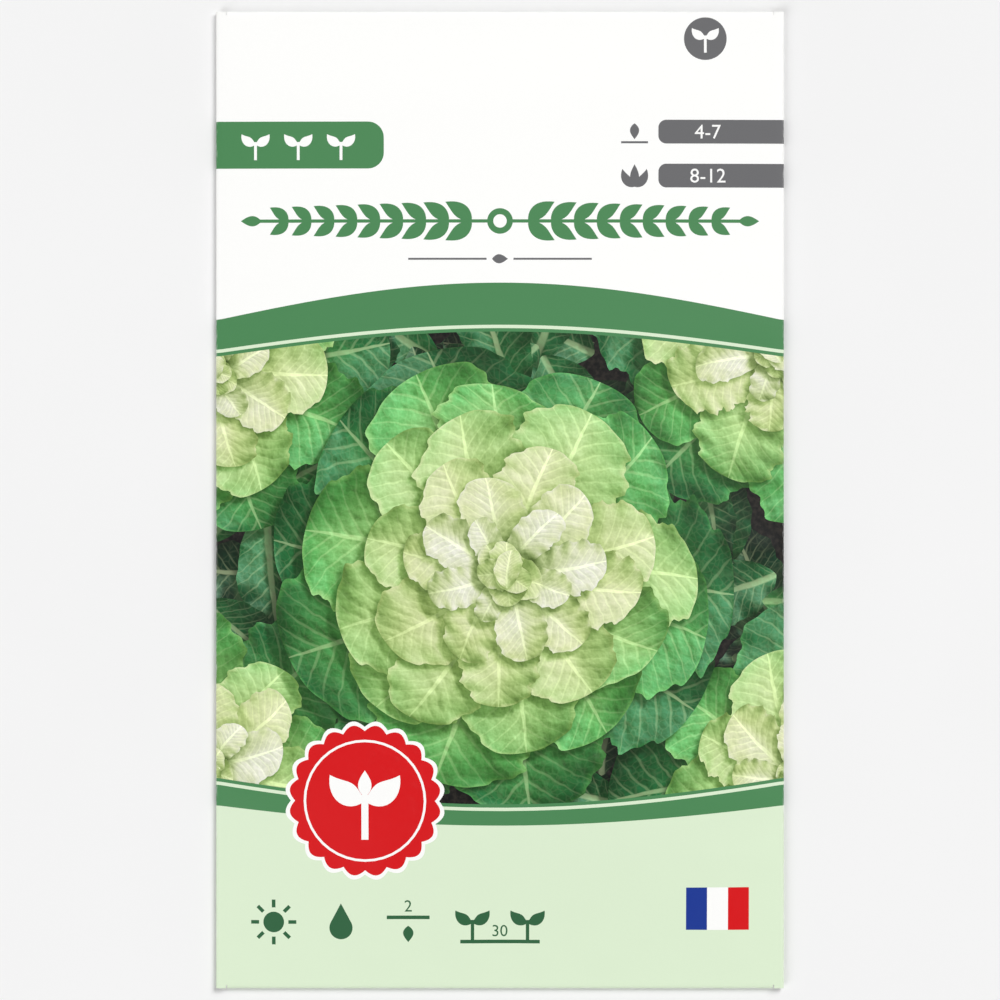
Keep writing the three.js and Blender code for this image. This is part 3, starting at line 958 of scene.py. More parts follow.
corner_attribute("ink", "FLOAT_COLOR", "color", ink_colour, (*linear(INKS["paper"]), 1.0))
corner_attribute("leaf_at", "FLOAT_VECTOR", "vector", leaf_at, (0, 0, 0))
corner_attribute("leaf_lit", "FLOAT_VECTOR", "vector", leaf_lit, (0, 0, 0))
face_number = np.arange(len(slab.polygons))
is_inside = face_number >= len(outer_corners)
slab.attributes.new("inside", "BOOLEAN", "FACE").data.foreach_set("value", is_inside)
slab.polygons.foreach_set("use_smooth", face_number < len(outer_corners) + len(inner_corners))
is_cut = np.zeros(len(slab.edges), bool)
is_cut[loop_numbers("edge_index")[wall_loops]] = True
slab.attributes.new("sharp_edge", "BOOLEAN", "EDGE").data.foreach_set("value", is_cut)
print(is_cut.sum(), "sharp edges along the cuts")

# %% [markdown]
# A map for the flat colours
#
# The part may also be handed on with its colours as one flat image. The map for that is laid out here,
# while the sheet is still flat and nothing overlaps: the front gets the largest share, the two back
# panels and the flaps stand beside it, and the hidden inner side gets a small corner. Each cut edge has a
# little cell of its own.

# %% Where each part of the sheet lies on the map
MAP_GAP = 0.003
FRONT_SHARE = 1 / 163.0  # of the map's width, for a millimetre
BACK_SHARE = 1 / 253.0
INNER_SHARE = 1 / 860.0
END_Y = FRONT_Y + FLAP_ARC
column = 2 * MAP_GAP + 2 * FOLD_X * FRONT_SHARE
second_column = column + MAP_GAP + (-FOLD_X - LEFT_EDGE) * BACK_SHARE
bottom_row = 2 * MAP_GAP + 2 * FRONT_Y * BACK_SHARE
top_row = bottom_row + MAP_GAP + BOTTOM_FLAP * BACK_SHARE
last_row = top_row + MAP_GAP + TOP_FLAP * BACK_SHARE
face_x, face_y = np.repeat(middles, 3, axis=0).T
# Which face corners, where that part begins on the blank, its scale, and where it lands on the map
MAP_PARTS = [
    (np.abs(face_x) < FOLD_X, (-FOLD_X, -END_Y), FRONT_SHARE, (MAP_GAP, MAP_GAP)),
    (face_x < -FOLD_X, (LEFT_EDGE, -FRONT_Y), BACK_SHARE, (column, MAP_GAP)),
    (face_x > FOLD_X, (FOLD_X, -FRONT_Y), BACK_SHARE, (second_column, MAP_GAP)),
    (face_y < -END_Y, (-FLAP_X, BOTTOM_EDGE), BACK_SHARE, (column, bottom_row)),
    (face_y > END_Y, (-FLAP_X, END_Y), BACK_SHARE, (column, top_row)),
    (inner_loops, (LEFT_EDGE, BOTTOM_EDGE), INNER_SHARE, (column, last_row)),
]
flat_places = slab_points[loop_numbers("vertex_index"), :2]
on_map = np.zeros((len(slab.loops), 2))
for loops, low, share, corner in MAP_PARTS:
    chosen = loops if isinstance(loops, slice) else np.flatnonzero(loops)
    on_map[chosen] = (flat_places[chosen] - low) * share + corner
print(len(MAP_PARTS), "parts of the sheet on the map")

# %% Cells for the cut edges
CELLS_ACROSS = 28
CELL_CORNERS = np.array([(0.1, 0.1), (0.9, 0.1), (0.9, 0.9), (0.1, 0.9)])
cells_from = np.array([column + MAP_GAP + (RIGHT_EDGE - LEFT_EDGE) * INNER_SHARE, last_row])
cell_size = (1 - MAP_GAP - cells_from) / (CELLS_ACROSS, math.ceil(len(walls) / CELLS_ACROSS))
cell_places = np.stack(np.divmod(np.arange(len(walls)), CELLS_ACROSS)[::-1], 1)
cells = cells_from + (cell_places[:, None] + CELL_CORNERS) * cell_size
on_map[wall_loops] = cells.reshape(-1, 2)
slab.uv_layers.new(name="OFBake").data.foreach_set("uv", on_map.ravel())
print("the map runs from", on_map.min(0).round(3), "to", on_map.max(0).round(3))

# %% [markdown]
# Sums with nodes
#
# A node tree is a formula drawn as boxes. To keep our formulas readable we wrap a node's output in a small
# class that knows plus, minus and the rest: each sign adds one Math node and returns its output. The same
# class serves the Geometry Nodes trees and the shaders, because Blender's Math node works in both.

# %% A field: a node's output that can be used in sums
NODES_ACROSS = 14  # how many boxes stand in a row when the tree is opened


def add(tree, kind, inputs=None, **settings):
    """A new node with these settings. Inputs name a socket, or number it, and say what goes in."""
    node = tree.nodes.new(kind)
    row, place = divmod(len(tree.nodes), NODES_ACROSS)
    node.location = (190 * place, -220 * row)
    for setting, value in settings.items():
        setattr(node, setting, value)
    for socket, value in (inputs or {}).items():
        if isinstance(value, Field):
            tree.links.new(value.socket, node.inputs[socket])
        else:
            node.inputs[socket].default_value = value
    return node


def read(tree, kind, output=0, inputs=None, **settings):
    """An output of a new node that this tree starts from."""
    return Field(tree, add(tree, kind, inputs, **settings).outputs[output])


def feed(kind, inputs, output=0, **settings):
    """An output of a new node, in the same tree as the fields that go into it."""
    tree = next(value.tree for value in inputs.values() if isinstance(value, Field))
    return read(tree, kind, output, inputs, **settings)


@dataclass
class Field:
    """A node's output. A sum with it adds a Math node."""

    tree: bpy.types.NodeTree
    socket: bpy.types.NodeSocket

    def maths(self, operation, *others):
        return feed("ShaderNodeMath", dict(enumerate((self, *others))), operation=operation)

    __add__ = __radd__ = partialmethod(maths, "ADD")
    __mul__ = __rmul__ = partialmethod(maths, "MULTIPLY")
    __sub__ = partialmethod(maths, "SUBTRACT")
    __truediv__ = partialmethod(maths, "DIVIDE")
    __pow__ = partialmethod(maths, "POWER")
    __lt__ = partialmethod(maths, "LESS_THAN")
    __gt__ = partialmethod(maths, "GREATER_THAN")
    __abs__ = partialmethod(maths, "ABSOLUTE")
    __neg__ = partialmethod(maths, "MULTIPLY", -1.0)

    def __rsub__(self, other):
        return -self + other

    def ramp(self, low, high):
        """0 below low, 1 above high, and a smooth rise between them."""
        inputs = {"Value": self, "From Min": low, "From Max": high}
        return feed("ShaderNodeMapRange", inputs, "Result", interpolation_type="SMOOTHSTEP")


def split(vector):
    """The three numbers of a vector."""
    node = add(vector.tree, "ShaderNodeSeparateXYZ", {0: vector})
    return [Field(vector.tree, output) for output in node.outputs]


def joined(x, y, z):
    return feed("ShaderNodeCombineXYZ", {0: x, 1: y, 2: z})


def noise(place, scale, detail=2.0):
    """Soft random values about 0.5."""
    return feed("ShaderNodeTexNoise", {"Vector": place, "Scale": scale, "Detail": detail})


print("fields ready")


# %% Trees that shape a mesh
def shape_tree(name, sizes):
    """A Geometry Nodes tree with a named input for each size: the tree, the inputs' keys and fields."""
    tree = bpy.data.node_groups.new(name, "GeometryNodeTree")
    new_socket = tree.interface.new_socket
    new_socket("Geometry", in_out="INPUT", socket_type="NodeSocketGeometry")
    new_socket("Geometry", in_out="OUTPUT", socket_type="NodeSocketGeometry")
    sockets = [new_socket(size, in_out="INPUT", socket_type="NodeSocketFloat") for size in sizes]
    keys = {socket.name: socket.identifier for socket in sockets}
    entry = add(tree, "NodeGroupInput")
    return tree, keys, {key: Field(tree, entry.outputs[key]) for key in ("Geometry", *sizes)}


def shaped(mesh, tree, keys, sizes):
    """Runs a tree on a mesh and returns the result as an object with a plain mesh."""
    holder = bpy.data.objects.new(mesh.name, mesh)
    bpy.context.collection.objects.link(holder)
    modifier = holder.modifiers.new(tree.name, "NODES")
    modifier.node_group = tree
    for size, value in sizes.items():
        modifier[keys[size]] = float(value)
    result = bpy.data.meshes.new_from_object(holder.evaluated_get(bpy.context.evaluated_depsgraph_get()))
    bpy.data.objects.remove(holder)
    piece = bpy.data.objects.new(mesh.name, result)
    bpy.context.collection.objects.link(piece)
    return piece


def given_finish(mesh, material, selection=True):
    """Sets a material on a mesh, or on its selected faces."""
    return feed("GeometryNodeSetMaterial", {"Geometry": mesh, "Material": material, "Selection": selection})


print("trees ready")

# %% [markdown]
# Printed paper
#
# The outside is satin coated paper. Its colour is the ink that each corner carries, and three things are
# added where the mesh is too coarse to hold them: the leaves' veins and blisters, a fine print grain, and
# ink rubbed off along the folds. A leaf's pattern reads the place on the leaf that we stored, so every vein
# runs with its own leaf.


# %% Tools for finishes
def surface(name):
    """A new material, its node tree and its shader."""
    material = bpy.data.materials.new(name)
    material.use_nodes = True
    return material, material.node_tree, material.node_tree.nodes["Principled BSDF"]


def stored(tree, name, output):
    """An attribute of the mesh."""
    return read(tree, "ShaderNodeAttribute", output, attribute_name=name)


def times(colour, strength):
    return feed("ShaderNodeVectorMath", {0: colour, "Scale": strength}, operation="SCALE")


def between(share, first, second):
    """A colour between two others."""
    return feed("ShaderNodeMix", {"Factor": share, 6: first, 7: second}, 2, data_type="RGBA")


def in_millimetres(tree):
    """The piece's own coordinates in millimetres."""
    return times(read(tree, "ShaderNodeTexCoord", "Object"), 1 / MM)


def borders(place, scale):
    """Distance from the border between irregular cells."""
    inputs = {"Vector": place, "Scale": scale}
    return feed("ShaderNodeTexVoronoi", inputs, "Distance", feature="DISTANCE_TO_EDGE")


def set_finish(shader, colour, roughness, height, depth):
    """Sets a shader's colour and roughness, and lets a height of 0 to 1 stand up this many millimetres."""
    bump = feed("ShaderNodeBump", {"Height": height, "Distance": depth * MM})
    for socket, field in (("Base Color", colour), ("Roughness", roughness), ("Normal", bump)):
        field.tree.links.new(field.socket, shader.inputs[socket])


print("tools for finishes ready")

# %% Veins of the printed leaves
VEIN_GAP = 0.085  # between side veins, as a share of the leaf's length
VEIN_LEAN = 0.95  # how far they run forward for each step aside
RIB_TAPER = 0.7
printed_paper, page, page_shader = surface("satin print")
ink = stored(page, "ink", "Color")
ink_shade = stored(page, "ink", "Alpha")
leaf_along, leaf_aside, leaf_length = split(stored(page, "leaf_at", "Vector"))
sun_along, sun_aside, leaf_across = split(stored(page, "leaf_lit", "Vector"))
shows_leaf = leaf_length > 0.5
shows_soil = leaf_length < -0.5
own_length = leaf_length.maths("MAXIMUM", 1.0)
leaf_number = leaf_length * 7.31  # sets the patterns of leaves apart
leaf_place = joined(leaf_along, leaf_aside, leaf_number)
wander = noise(leaf_place, 0.3) - 0.5

# The midrib narrows towards the tip
to_tip = (1.0 - leaf_along / own_length).maths("MAXIMUM", 0.0)
rib_width = 0.028 * leaf_length * to_tip**RIB_TAPER + 0.08
midrib = 1.0 - abs(leaf_aside + 0.5 * wander).ramp(0.6 * rib_width, 1.2 * rib_width)

# Side veins leave it at even gaps, lean forward and bend back a little, and fade towards the margin
vein_gap = VEIN_GAP * own_length
vein_bend = 0.9 * leaf_aside * leaf_aside / own_length
vein_turn = (leaf_along - VEIN_LEAN * abs(leaf_aside) + vein_bend + 1.6 * wander) / vein_gap
vein_distance = (0.5 - abs(vein_turn.maths("FRACT") - 0.5)) * vein_gap
vein_width = 0.07 + 0.012 * leaf_length * (1.0 - 0.8 * abs(leaf_across))
side_veins = 1.0 - vein_distance.ramp(0.3 * vein_width, vein_width)
side_veins = (0.36 - 0.16 * leaf_across * leaf_across) * side_veins

# A faint net lies between them
net_place = joined(leaf_along + 2.4 * wander, leaf_aside - 2.0 * wander, leaf_number)
net = 1.0 - borders(net_place, 0.8).ramp(0.0, 0.14)
ribs = shows_leaf * (0.75 * midrib).maths("MAXIMUM", side_veins.maths("MAXIMUM", 0.1 * net))
print(len(page.nodes), "nodes draw the veins")

# %% Blisters of the printed leaves
BLISTER, CREASE = 0.4, 1.3  # how far towards the sun the fine and the broad relief are compared, mm


def emboss(reach, scale, detail):
    """Light and shade of a crumpled leaf: its height here against its height a little nearer to the sun."""
    nearer = joined(leaf_along + reach * sun_along, leaf_aside + reach * sun_aside, leaf_number)
    return noise(leaf_place, scale, detail) - noise(nearer, scale, detail)


puffed_to_sun = VEIN_LEAN * leaf_aside.maths("SIGN") * sun_aside - sun_along
puffs = (vein_turn * (2 * math.pi)).maths("SINE") * puffed_to_sun * (1.0 - leaf_across * leaf_across)
relief = 3.2 * emboss(BLISTER, 0.42, 3.0) + 1.7 * emboss(CREASE, 0.15, 2.0) + 0.16 * puffs
calm = 1.0 - 0.6 * feed("ShaderNodeRGBToBW", {0: ink}).ramp(0.3, 0.75)  # light comes through pale leaves
crumpled = (1.0 + shows_leaf * calm * relief).maths("MAXIMUM", 0.1)
crumple_tint = joined(*(crumpled**power for power in SHADE_TINT))
leaf_ink = feed("ShaderNodeVectorMath", {0: ink, 1: crumple_tint}, operation="MULTIPLY")
print(len(page.nodes), "nodes with the blisters")

# %% Ink, grain and rubbed folds
RIB = (0.66, 0.74, 0.42)
BARE = (*linear(INKS["paper"]), 1.0)
RUBBED = 0.45  # share of the ink that is lost at most
page_place = in_millimetres(page)
page_x, page_y, page_z = split(page_place)


def rubbed_at(distance, half, width, place):
    """Patches of lost ink along a fold this far from the middle."""
    return abs(distance).ramp(half - width, half) * noise(place, 1.6, detail=4.0).ramp(0.45, 0.68)


rib_ink = between(0.4, times(leaf_ink, 1.7), times(RIB, ink_shade))
drawn = between(ribs, leaf_ink, rib_ink)
crumbs = noise(page_place, 1.3, detail=4.0).ramp(0.35, 0.75)
drawn = times(drawn, 1.0 + shows_soil * (2.2 * crumbs - 0.9))
drawn = times(drawn, 0.985 + 0.03 * noise(page_place, 5.0, detail=1.0))
side_fold = rubbed_at(page_x, WIDTH / 2, 0.35, joined(2.0 * page_x, 0.5 * page_y, 2.0 * page_z))
end_fold = rubbed_at(page_y, HEIGHT / 2, 0.4, joined(0.5 * page_x, 2.0 * page_y, 2.0 * page_z))
rubbed = RUBBED * side_fold.maths("MAXIMUM", end_fold)
fibres = noise(page_place, 1.1, detail=5.0)
page_roughness = 0.36 + 0.14 * fibres + 0.2 * rubbed
set_finish(page_shader, between(rubbed, drawn, BARE), page_roughness, fibres, depth=0.012)
page_shader.inputs["Specular IOR Level"].default_value = 0.3
print(len(page.nodes), "nodes finish the printed paper")

# %% [markdown]
# Bare paper
#
# Inside the packet and along its cut edges the paper is uncoated: a warmer white with short fibres.
# Stretching the noise along one axis gives the fibres the direction in which the paper ran through the
# machine.

# %% Bare paper finish
PULP_DARK = (0.74, 0.72, 0.66, 1.0)
PULP_LIGHT = (0.88, 0.87, 0.82, 1.0)
bare_paper, pulp, pulp_shader = surface("bare paper")
pulp_x, pulp_y, pulp_z = split(in_millimetres(pulp))
pulp_place = joined(pulp_x, 0.25 * pulp_y, pulp_z)
pulp_fibres = noise(pulp_place, 2.2, detail=6.0)
pulp_tone = (0.6 * pulp_fibres + 0.4 * noise(pulp_place, 0.12, detail=3.0)).ramp(0.25, 0.75)
pulp_colour = between(pulp_tone, PULP_DARK, PULP_LIGHT)
set_finish(pulp_shader, pulp_colour, 0.74 + 0.16 * pulp_fibres, pulp_fibres, depth=0.02)
print(len(pulp.nodes), "nodes finish the bare paper")

# %% [markdown]
# Folding the sheet
#
# Each point of the slab carries its place on the flat blank: across, up, and through the paper. Folding is
# a rule that turns those three numbers into a place on the packet. Past the front's side edge a point first
# runs round a half circle and then back along the underside, and past the top or bottom edge it does the
# same with the flap. The seeds lift the front in a soft belly, and paper that can't stretch puckers a
# little round it.

# %% Sizes that the fold works from
FOLD_SIZES = {
    "Front half width": FRONT_X,
    "Front half height": FRONT_Y,
    "Side radius": SIDE_RADIUS,
    "Flap radius": FLAP_RADIUS,
    "Edge height": EDGE_Z,
    "Layer": LAYER,
    "Seam climbs from": SEAM_FROM,
    "Seam step": SEAM_STEP,
    "Flap half width": FLAP_X,
    "Flap taper": FLAP_TAPER,
    "Top flap": TOP_FLAP,
    "Bottom flap": BOTTOM_FLAP,
    "Slit": SLIT,
    "Belly": BELLY,
    "Pucker": 0.3,
    "Seed bumps": 0.14,
}
fold, fold_keys, size = shape_tree("Fold the blank", FOLD_SIZES)
position = read(fold, "GeometryNodeInputPosition")
u, v, through = split(position)
print(len(FOLD_SIZES), "sizes for the fold")

# %% The belly of the front
BELLY_FULL_FROM, BELLY_FULL_TO, BELLY_LOW_FROM = -44.0, -26.0, 66.0
TOP_LIFT = 0.14  # share of the belly that is left near the top flap
TOP_RAMP = 16.0
half_height = size["Front half height"]
edge_share = (abs(u) / size["Front half width"]).maths("MINIMUM", 1.0)
full = v.ramp(-half_height, BELLY_FULL_FROM)
low = 1.0 - (1.0 - TOP_LIFT) * v.ramp(BELLY_FULL_TO, BELLY_LOW_FROM)
flat_top = 1.0 - v.ramp(half_height - TOP_RAMP, half_height)
rounding = full * low * flat_top
belly = size["Belly"] * (1.0 - edge_share**3.0) * rounding
print(len(fold.nodes), "nodes lift the belly")

# %% Puckers and seed bumps
SIDE_PUCKER, END_PUCKER = 10.5, 14.0  # from one pucker to the next
END_FULL, END_FADE, END_GONE = 5.0, 8.0, 30.0  # how far from the bottom fold its puckers rise and fade
sway = 9.0 * noise(joined(u * 0.03, v * 0.05, 0.0), 1.0)


def puckers(along, apart):
    """Uneven waves of 0 to 1 along an edge."""
    wave = 0.5 + 0.5 * (along * (2 * math.pi / apart) + sway).maths("SINE")
    return wave**1.5


side_pucker = edge_share**5.0 * (1.0 - edge_share**18.0) * rounding * puckers(v, SIDE_PUCKER)
end_zone = v.ramp(-half_height, END_FULL - half_height)
end_zone = end_zone * (1.0 - v.ramp(END_FADE - half_height, END_GONE - half_height))
end_pucker = end_zone * (1.0 - edge_share**6.0) * puckers(u, END_PUCKER)
bed_low, bed_high = box_in_mm("seed_fill")
bed_middle = (bed_low + bed_high) / 2
bed_half = (bed_high - bed_low) / 2
from_middle = ((u - bed_middle[0]) / bed_half[0]) ** 2.0 + ((v - bed_middle[1]) / bed_half[1]) ** 2.0
grains = noise(position, 0.42, detail=1.0).ramp(0.45, 0.75)
bumps = size["Seed bumps"] * grains * (1.0 - from_middle.ramp(0.55, 1.05))
lift = belly + size["Pucker"] * (side_pucker + 0.8 * end_pucker) + bumps
print(len(fold.nodes), "nodes with puckers and bumps")


# %% Side folds, back panels and flaps
def turned_under(distance, reach, radius):
    """Round a half circle and back: how far out and down, the turn's cosine and sine, and the run back."""
    past = (distance - reach).maths("MAXIMUM", 0.0)
    angle = (past / radius).maths("MINIMUM", math.pi)
    run = (past - math.pi * radius).maths("MAXIMUM", 0.0)
    cosine, sine = angle.maths("COSINE"), angle.maths("SINE")
    out = distance.maths("MINIMUM", reach) + radius * sine - run
    return out, radius * (1.0 - cosine), cosine, sine, run


side = u.maths("SIGN")
half_width = size["Front half width"]
out, down, side_cosine, side_sine, back_run = turned_under(abs(u), half_width, size["Side radius"])
side_x = side * out
climbing = 1.0 - side_x.ramp(size["Seam climbs from"], size["Seam climbs from"] + size["Seam step"])
climb = size["Layer"] * climbing * (back_run > 0.0) * (u > 0.0)
side_z = size["Edge height"] - down + climb

end = v.maths("SIGN")
out, down, end_cosine, end_sine, flap_run = turned_under(abs(v), half_height, size["Flap radius"])
flap_length = size["Bottom flap"] + (v > 0.0) * (size["Top flap"] - size["Bottom flap"])
flap_x = u * (1.0 - flap_run / flap_length * (size["Flap taper"] / size["Flap half width"]))
flap_y = end * out
flap_z = size["Edge height"] - down
print(len(fold.nodes), "nodes with folds and flaps")

# %% One place for every point
in_flap = (abs(v) > half_height) * (abs(u) < size["Flap half width"] + 0.5 * size["Slit"])


def either(flap, elsewhere):
    """One value for the flaps and another for the rest of the sheet."""
    return elsewhere + in_flap * (flap - elsewhere)


place = joined(
    MM * (either(flap_x, side_x) + through * either(0.0 * u, side * side_sine)),
    MM * (either(flap_y, v) + through * either(end * end_sine, 0.0 * v)),
    MM * (either(flap_z, side_z + lift) + through * either(end_cosine, side_cosine)),
)
moved = feed("GeometryNodeSetPosition", {"Geometry": size["Geometry"], "Position": place})
printed = given_finish(feed("GeometryNodeRealizeInstances", {0: moved}), printed_paper)
inside = read(fold, "GeometryNodeInputNamedAttribute", "Attribute", {"Name": "inside"}, data_type="BOOLEAN")
add(fold, "NodeGroupOutput", {0: given_finish(printed, bare_paper, inside)})
printed_sheet = shaped(slab, fold, fold_keys, FOLD_SIZES)
print(len(fold.nodes), "nodes fold", len(printed_sheet.data.polygons), "faces")

# %% [markdown]
# Loose seeds
#
# A sealed packet hides its seeds, but they are why it has a belly, so they are there. Each is a small
# five-sided wedge with a blunt crown, as the seeds of many salad plants are. Placing so many by hand is
# hopeless and a particle system would not survive an export. Geometry Nodes scatter points on level
# shelves inside the packet, set one seed on each point at a random turn, and write two numbers on it for
# the finish: the place along the seed, and a tone of its own.

# %% Shelves for the seeds to lie on
SHELF_STEP = 2.0
SHELF_GAP = 1.05  # height between layers of seeds
SEED_ROOM = 1.0  # free height that a lying seed needs over its middle
SEED_FLOOR = 0.85  # height of the lowest seeds' middles above the bed's floor
SEED_MARGIN = 1.6  # how far the seeds' middles keep from the bed's rim
UP = Vector((0, 0, 1))
bed_reach = bed_half - SEED_MARGIN
sheet = printed_sheet.data
sheet_faces = [face.vertices for face in sheet.polygons]
ceiling = bvhtree.BVHTree.FromPolygons([point.co for point in sheet.vertices], sheet_faces)


def shelf_cells():
    """Middles of the shelves' squares that have room for a seed."""
    columns = np.arange(-bed_reach[0], bed_reach[0], SHELF_STEP)
    rows = np.arange(-bed_reach[1], bed_reach[1], SHELF_STEP)
    for height in np.arange(bed_low[2] + SEED_FLOOR, bed_high[2], SHELF_GAP):
        for x in columns:
            for y in rows:
                middle = np.array([x + bed_middle[0], y + bed_middle[1], height])
                room = ceiling.ray_cast(Vector(middle) * MM, UP)[3]
                if np.hypot(x / bed_reach[0], y / bed_reach[1]) < 1 and room and room > SEED_ROOM * MM:
                    yield middle


cell_corners = SHELF_STEP / 2 * np.array([(-1, -1, 0), (1, -1, 0), (1, 1, 0), (-1, 1, 0)])
shelf_points = np.concatenate([middle + cell_corners for middle in shelf_cells()])
shelves = bpy.data.meshes.new("seeds")
shelves.from_pydata(shelf_points, [], np.arange(len(shelf_points)).reshape(-1, 4).tolist())
print(len(shelves.polygons), "squares of shelf")

# %% Seed coat
SEED_DARK = (0.085, 0.052, 0.028, 1.0)
SEED_LIGHT = (0.36, 0.265, 0.15, 1.0)
SEED_CROWN = (0.62, 0.53, 0.36, 1.0)
seed_coat, coat, coat_shader = surface("seed husk")
seed_along = stored(coat, "seed_along", "Fac")
seed_tone = stored(coat, "seed_tone", "Fac")
streaks = noise(in_millimetres(coat), 3.5, detail=4.0)
mottled = between((0.55 * seed_tone + 0.7 * streaks - 0.1).ramp(0.1, 0.8), SEED_DARK, SEED_LIGHT)
coat_colour = between(0.8 * seed_along.ramp(0.86, 0.97), mottled, SEED_CROWN)
set_finish(coat_shader, coat_colour, 0.62 + 0.2 * streaks, streaks, depth=0.05)
print(len(coat.nodes), "nodes finish the seeds")

# %% One seed
SEED_SIZES = {"Length": 2.6, "Crown radius": 0.5, "Base radius": 0.2, "Swelling": 0.22, "Nearest": 1.45}
SEED_SIDES, SEED_RINGS = 5, 4
scatter, scatter_keys, seed_size = shape_tree("Scatter the seeds", SEED_SIZES)


def store(geometry, name, value, domain):
    """Writes a number on a mesh or on its copies."""
    inputs = {"Geometry": geometry, "Name": name, "Value": value}
    return feed("GeometryNodeStoreNamedAttribute", inputs, data_type="FLOAT", domain=domain)


wedge_sizes = {
    "Vertices": SEED_SIDES,
    "Side Segments": SEED_RINGS,
    "Radius Top": seed_size["Crown radius"],
    "Radius Bottom": seed_size["Base radius"],
    "Depth": seed_size["Length"],
}
wedge = feed("GeometryNodeMeshCone", wedge_sizes, "Mesh", fill_type="NGON")
seed_x, seed_y, seed_z = split(read(scatter, "GeometryNodeInputPosition"))
swollen = 1.0 + seed_size["Swelling"] * (math.pi * (seed_z / seed_size["Length"])).maths("SINE")
seed_place = joined(seed_x * swollen, seed_y * swollen, seed_z - 0.5 * seed_size["Length"])
swelled = feed("GeometryNodeSetPosition", {"Geometry": wedge, "Position": seed_place})
along_seed = split(read(scatter, "GeometryNodeInputPosition"))[2] / seed_size["Length"] + 0.5
one_seed = store(swelled, "seed_along", along_seed, "POINT")
print(len(scatter.nodes), "nodes shape one seed")

# %% All the seeds
SEED_DRAW = 11  # where the random places and turns start
SEED_TILT = math.radians(8)
LYING = math.pi / 2
DENSEST = 2.0  # points tried on a square millimetre


def random_value(low, high, draw):
    """A random number, or a vector of them where low and high are vectors."""
    kind, first, output = ("FLOAT_VECTOR", 0, 0) if isinstance(low, tuple) else ("FLOAT", 2, 1)
    inputs = {first: low, first + 1: high, "Seed": draw}
    return read(scatter, "FunctionNodeRandomValue", output, inputs, data_type=kind)


spreading = {"Mesh": seed_size["Geometry"], "Density Max": DENSEST, "Seed": SEED_DRAW}
spreading["Distance Min"] = seed_size["Nearest"]
points = feed("GeometryNodeDistributePointsOnFaces", spreading, "Points", distribute_method="POISSON")
turns = random_value((LYING - SEED_TILT, 0, 0), (LYING + SEED_TILT, 0, 2 * math.pi), SEED_DRAW)
turn = feed("FunctionNodeEulerToRotation", {0: turns})
scales = random_value(0.85, 1.05, SEED_DRAW + 1)
placing = {"Points": points, "Instance": one_seed, "Rotation": turn, "Scale": scales}
copies = feed("GeometryNodeInstanceOnPoints", placing)
toned = store(copies, "seed_tone", random_value(0.0, 1.0, SEED_DRAW + 2), "INSTANCE")
loose = feed("GeometryNodeRealizeInstances", {0: toned})
in_metres = feed("GeometryNodeTransform", {"Geometry": loose, "Scale": (MM, MM, MM)})
add(scatter, "NodeGroupOutput", {0: given_finish(in_metres, seed_coat)})
seeds = shaped(shelves, scatter, scatter_keys, SEED_SIZES)
seed_faces = SEED_SIDES * SEED_RINGS + 2
print(len(seeds.data.polygons) // seed_faces, "seeds with", len(seeds.data.polygons), "faces")

# %% [markdown]
# Glue
#
# Three films of glue hold the packet shut. Their shape comes straight from the frame, so they only need a
# finish: a cream film with small trapped bubbles, a little glossier than paper where it squeezes out along
# a seam.

# %% Dried glue finish
GLUE_CLEAR = (0.70, 0.62, 0.44, 1.0)
GLUE_CREAM = (0.84, 0.79, 0.66, 1.0)
dried_glue, film, film_shader = surface("glue film")
film_place = in_millimetres(film)
bubbles = 1.0 - borders(film_place, 0.9).ramp(0.0, 0.16)
smears = noise(film_place, 0.35, detail=4.0)
film_colour = between((smears - 0.25 * bubbles).ramp(0.2, 0.7), GLUE_CLEAR, GLUE_CREAM)
set_finish(film_shader, film_colour, 0.3 + 0.25 * smears, smears + 0.3 * bubbles, depth=0.03)
for name in ("glue_back_seam", "glue_bottom_flap", "glue_top_flap"):
    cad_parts[name].material_slots[0].material = dried_glue
print(len(film.nodes), "nodes finish the glue")

# %% [markdown]
# Floor, light and camera
#
# The packet lies on a pale floor and is seen from straight above, as on a copy stand. A soft lamp on one
# side shows the belly and the puckers, a weaker one opposite keeps the shadows open, and neither stands
# where its reflection would wash out the print. Both are sun lamps, which light the whole floor evenly,
# right out to the horizon.

# %% Floor
FLOOR_REACH = 3.0
FLOOR_DROP = 0.05 * MM  # keeps the floor from meeting the paper face to face
FLOOR_DARK = (0.87, 0.87, 0.87, 1.0)
FLOOR_LIGHT = (0.9, 0.9, 0.9, 1.0)
floor_tone, floor_tree, floor_shader = surface("pale floor")
floor_colour = between(noise(in_millimetres(floor_tree), 0.02, detail=3.0), FLOOR_DARK, FLOOR_LIGHT)
floor_tree.links.new(floor_colour.socket, floor_shader.inputs["Base Color"])
floor_shader.inputs["Roughness"].default_value = 0.9
floor_shader.inputs["Specular IOR Level"].default_value = 0.1
floor_mesh = bpy.data.meshes.new("floor")
floor_corners = [(-FLOOR_REACH, -FLOOR_REACH), (FLOOR_REACH, -FLOOR_REACH)]
floor_corners += [(FLOOR_REACH, FLOOR_REACH), (-FLOOR_REACH, FLOOR_REACH)]
floor_mesh.from_pydata([(x, y, -FLOOR_DROP) for x, y in floor_corners], [], [(0, 1, 2, 3)])
floor_mesh.materials.append(floor_tone)
floor = bpy.data.objects.new("floor", floor_mesh)
bpy.context.collection.objects.link(floor)
print(f"floor {2 * FLOOR_REACH:.0f} m across")

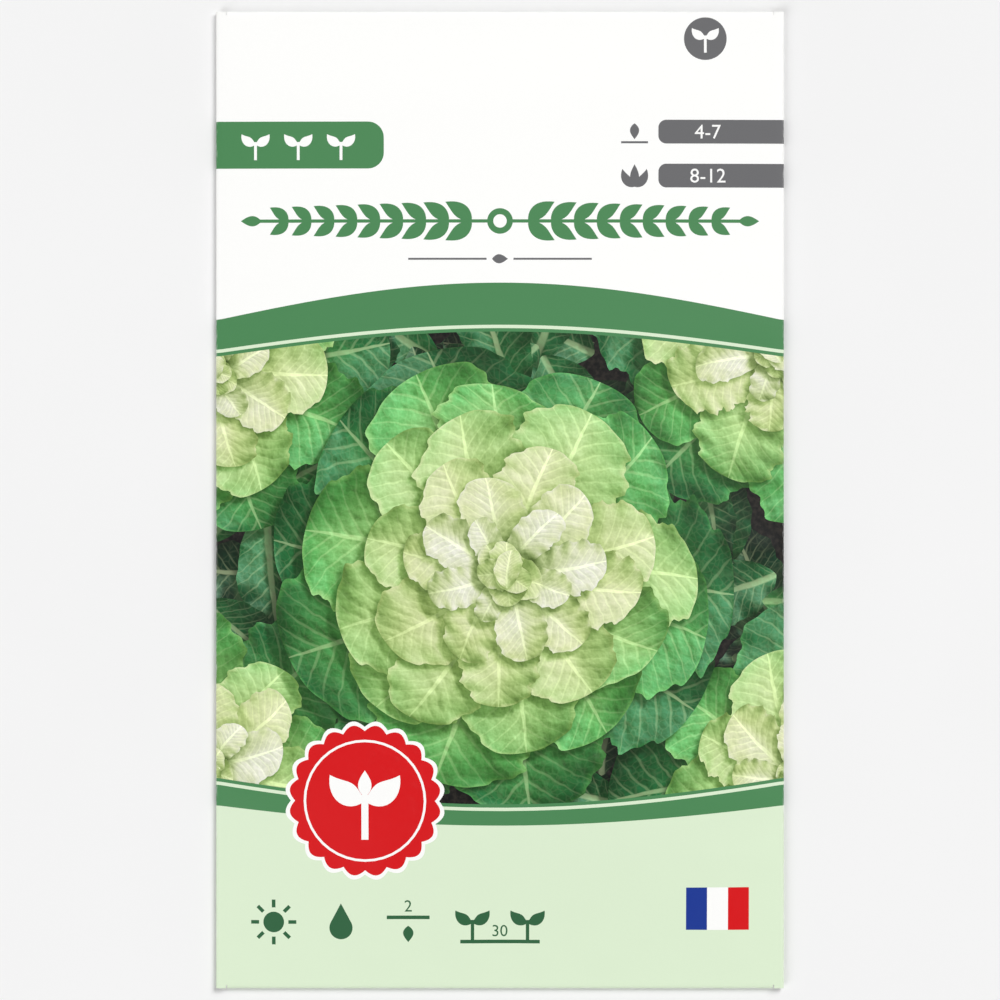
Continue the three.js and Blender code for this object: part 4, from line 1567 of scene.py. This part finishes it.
# %% Lamps
SKY_HIGH, SKY_LOW = 0.26, 0.9  # brightness of the room overhead and along the horizon
HORIZON = (0.08, 0.3)  # heights, as shares of the way up, between which the one turns into the other


def lamp(name, place, strength, spread):
    """A far-off lamp that shines from this place on packet and floor alike, as wide as spread degrees."""
    light = bpy.data.lights.new(name, "SUN")
    light.energy = strength
    light.angle = math.radians(spread)
    holder = bpy.data.objects.new(name, light)
    holder.location = place
    holder.rotation_euler = (-Vector(place)).to_track_quat("-Z", "Y").to_euler()
    bpy.context.collection.objects.link(holder)


lamp("key_lamp", place=(0.9, 1.0, 1.5), strength=2.1, spread=30)
lamp("fill_lamp", place=(-1.2, -1.1, 1.2), strength=1.3, spread=40)
world = bpy.data.worlds.new("studio")
world.use_nodes = True
sky = world.node_tree
backdrop = sky.nodes["Background"]
up = split(read(sky, "ShaderNodeTexCoord", "Generated"))[2]
brightness = SKY_HIGH + (SKY_LOW - SKY_HIGH) * (1.0 - up.ramp(*HORIZON))
sky.links.new(brightness.socket, backdrop.inputs["Strength"])
backdrop.inputs["Color"].default_value = (1.0, 1.0, 1.0, 1.0)
bpy.context.scene.world = world
bpy.context.scene.view_settings.view_transform = "Standard"
print(len(sky.nodes), "nodes light the room")

# %% Camera
PICTURE_WIDTH = 163.7  # millimetres of the packet's plane that the picture takes in
LENS, SENSOR = 120.0, 36.0
camera = bpy.data.cameras.new("camera")
camera.lens = LENS
camera.sensor_width = SENSOR
camera.clip_start = 0.01
viewer = bpy.data.objects.new("camera", camera)
viewer.location = (0, 0, (PICTURE_WIDTH * LENS / SENSOR + EDGE_Z) * MM)
bpy.context.collection.objects.link(viewer)
bpy.context.scene.camera = viewer
print(f"camera {viewer.location.z:.3f} m above the floor")

# %% [markdown]
# Handing the pieces over
#
# Each new piece moves with the packet's body, and the plain solid that it stands for is hidden.

# %% Bodies and replaced solids
PIECES = ((printed_sheet, "packet_sheet", "printed_paper"), (seeds, "seed_fill", "seed_coat"))
for piece, solid, slot in PIECES:
    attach(piece, "root")
    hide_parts(solid)
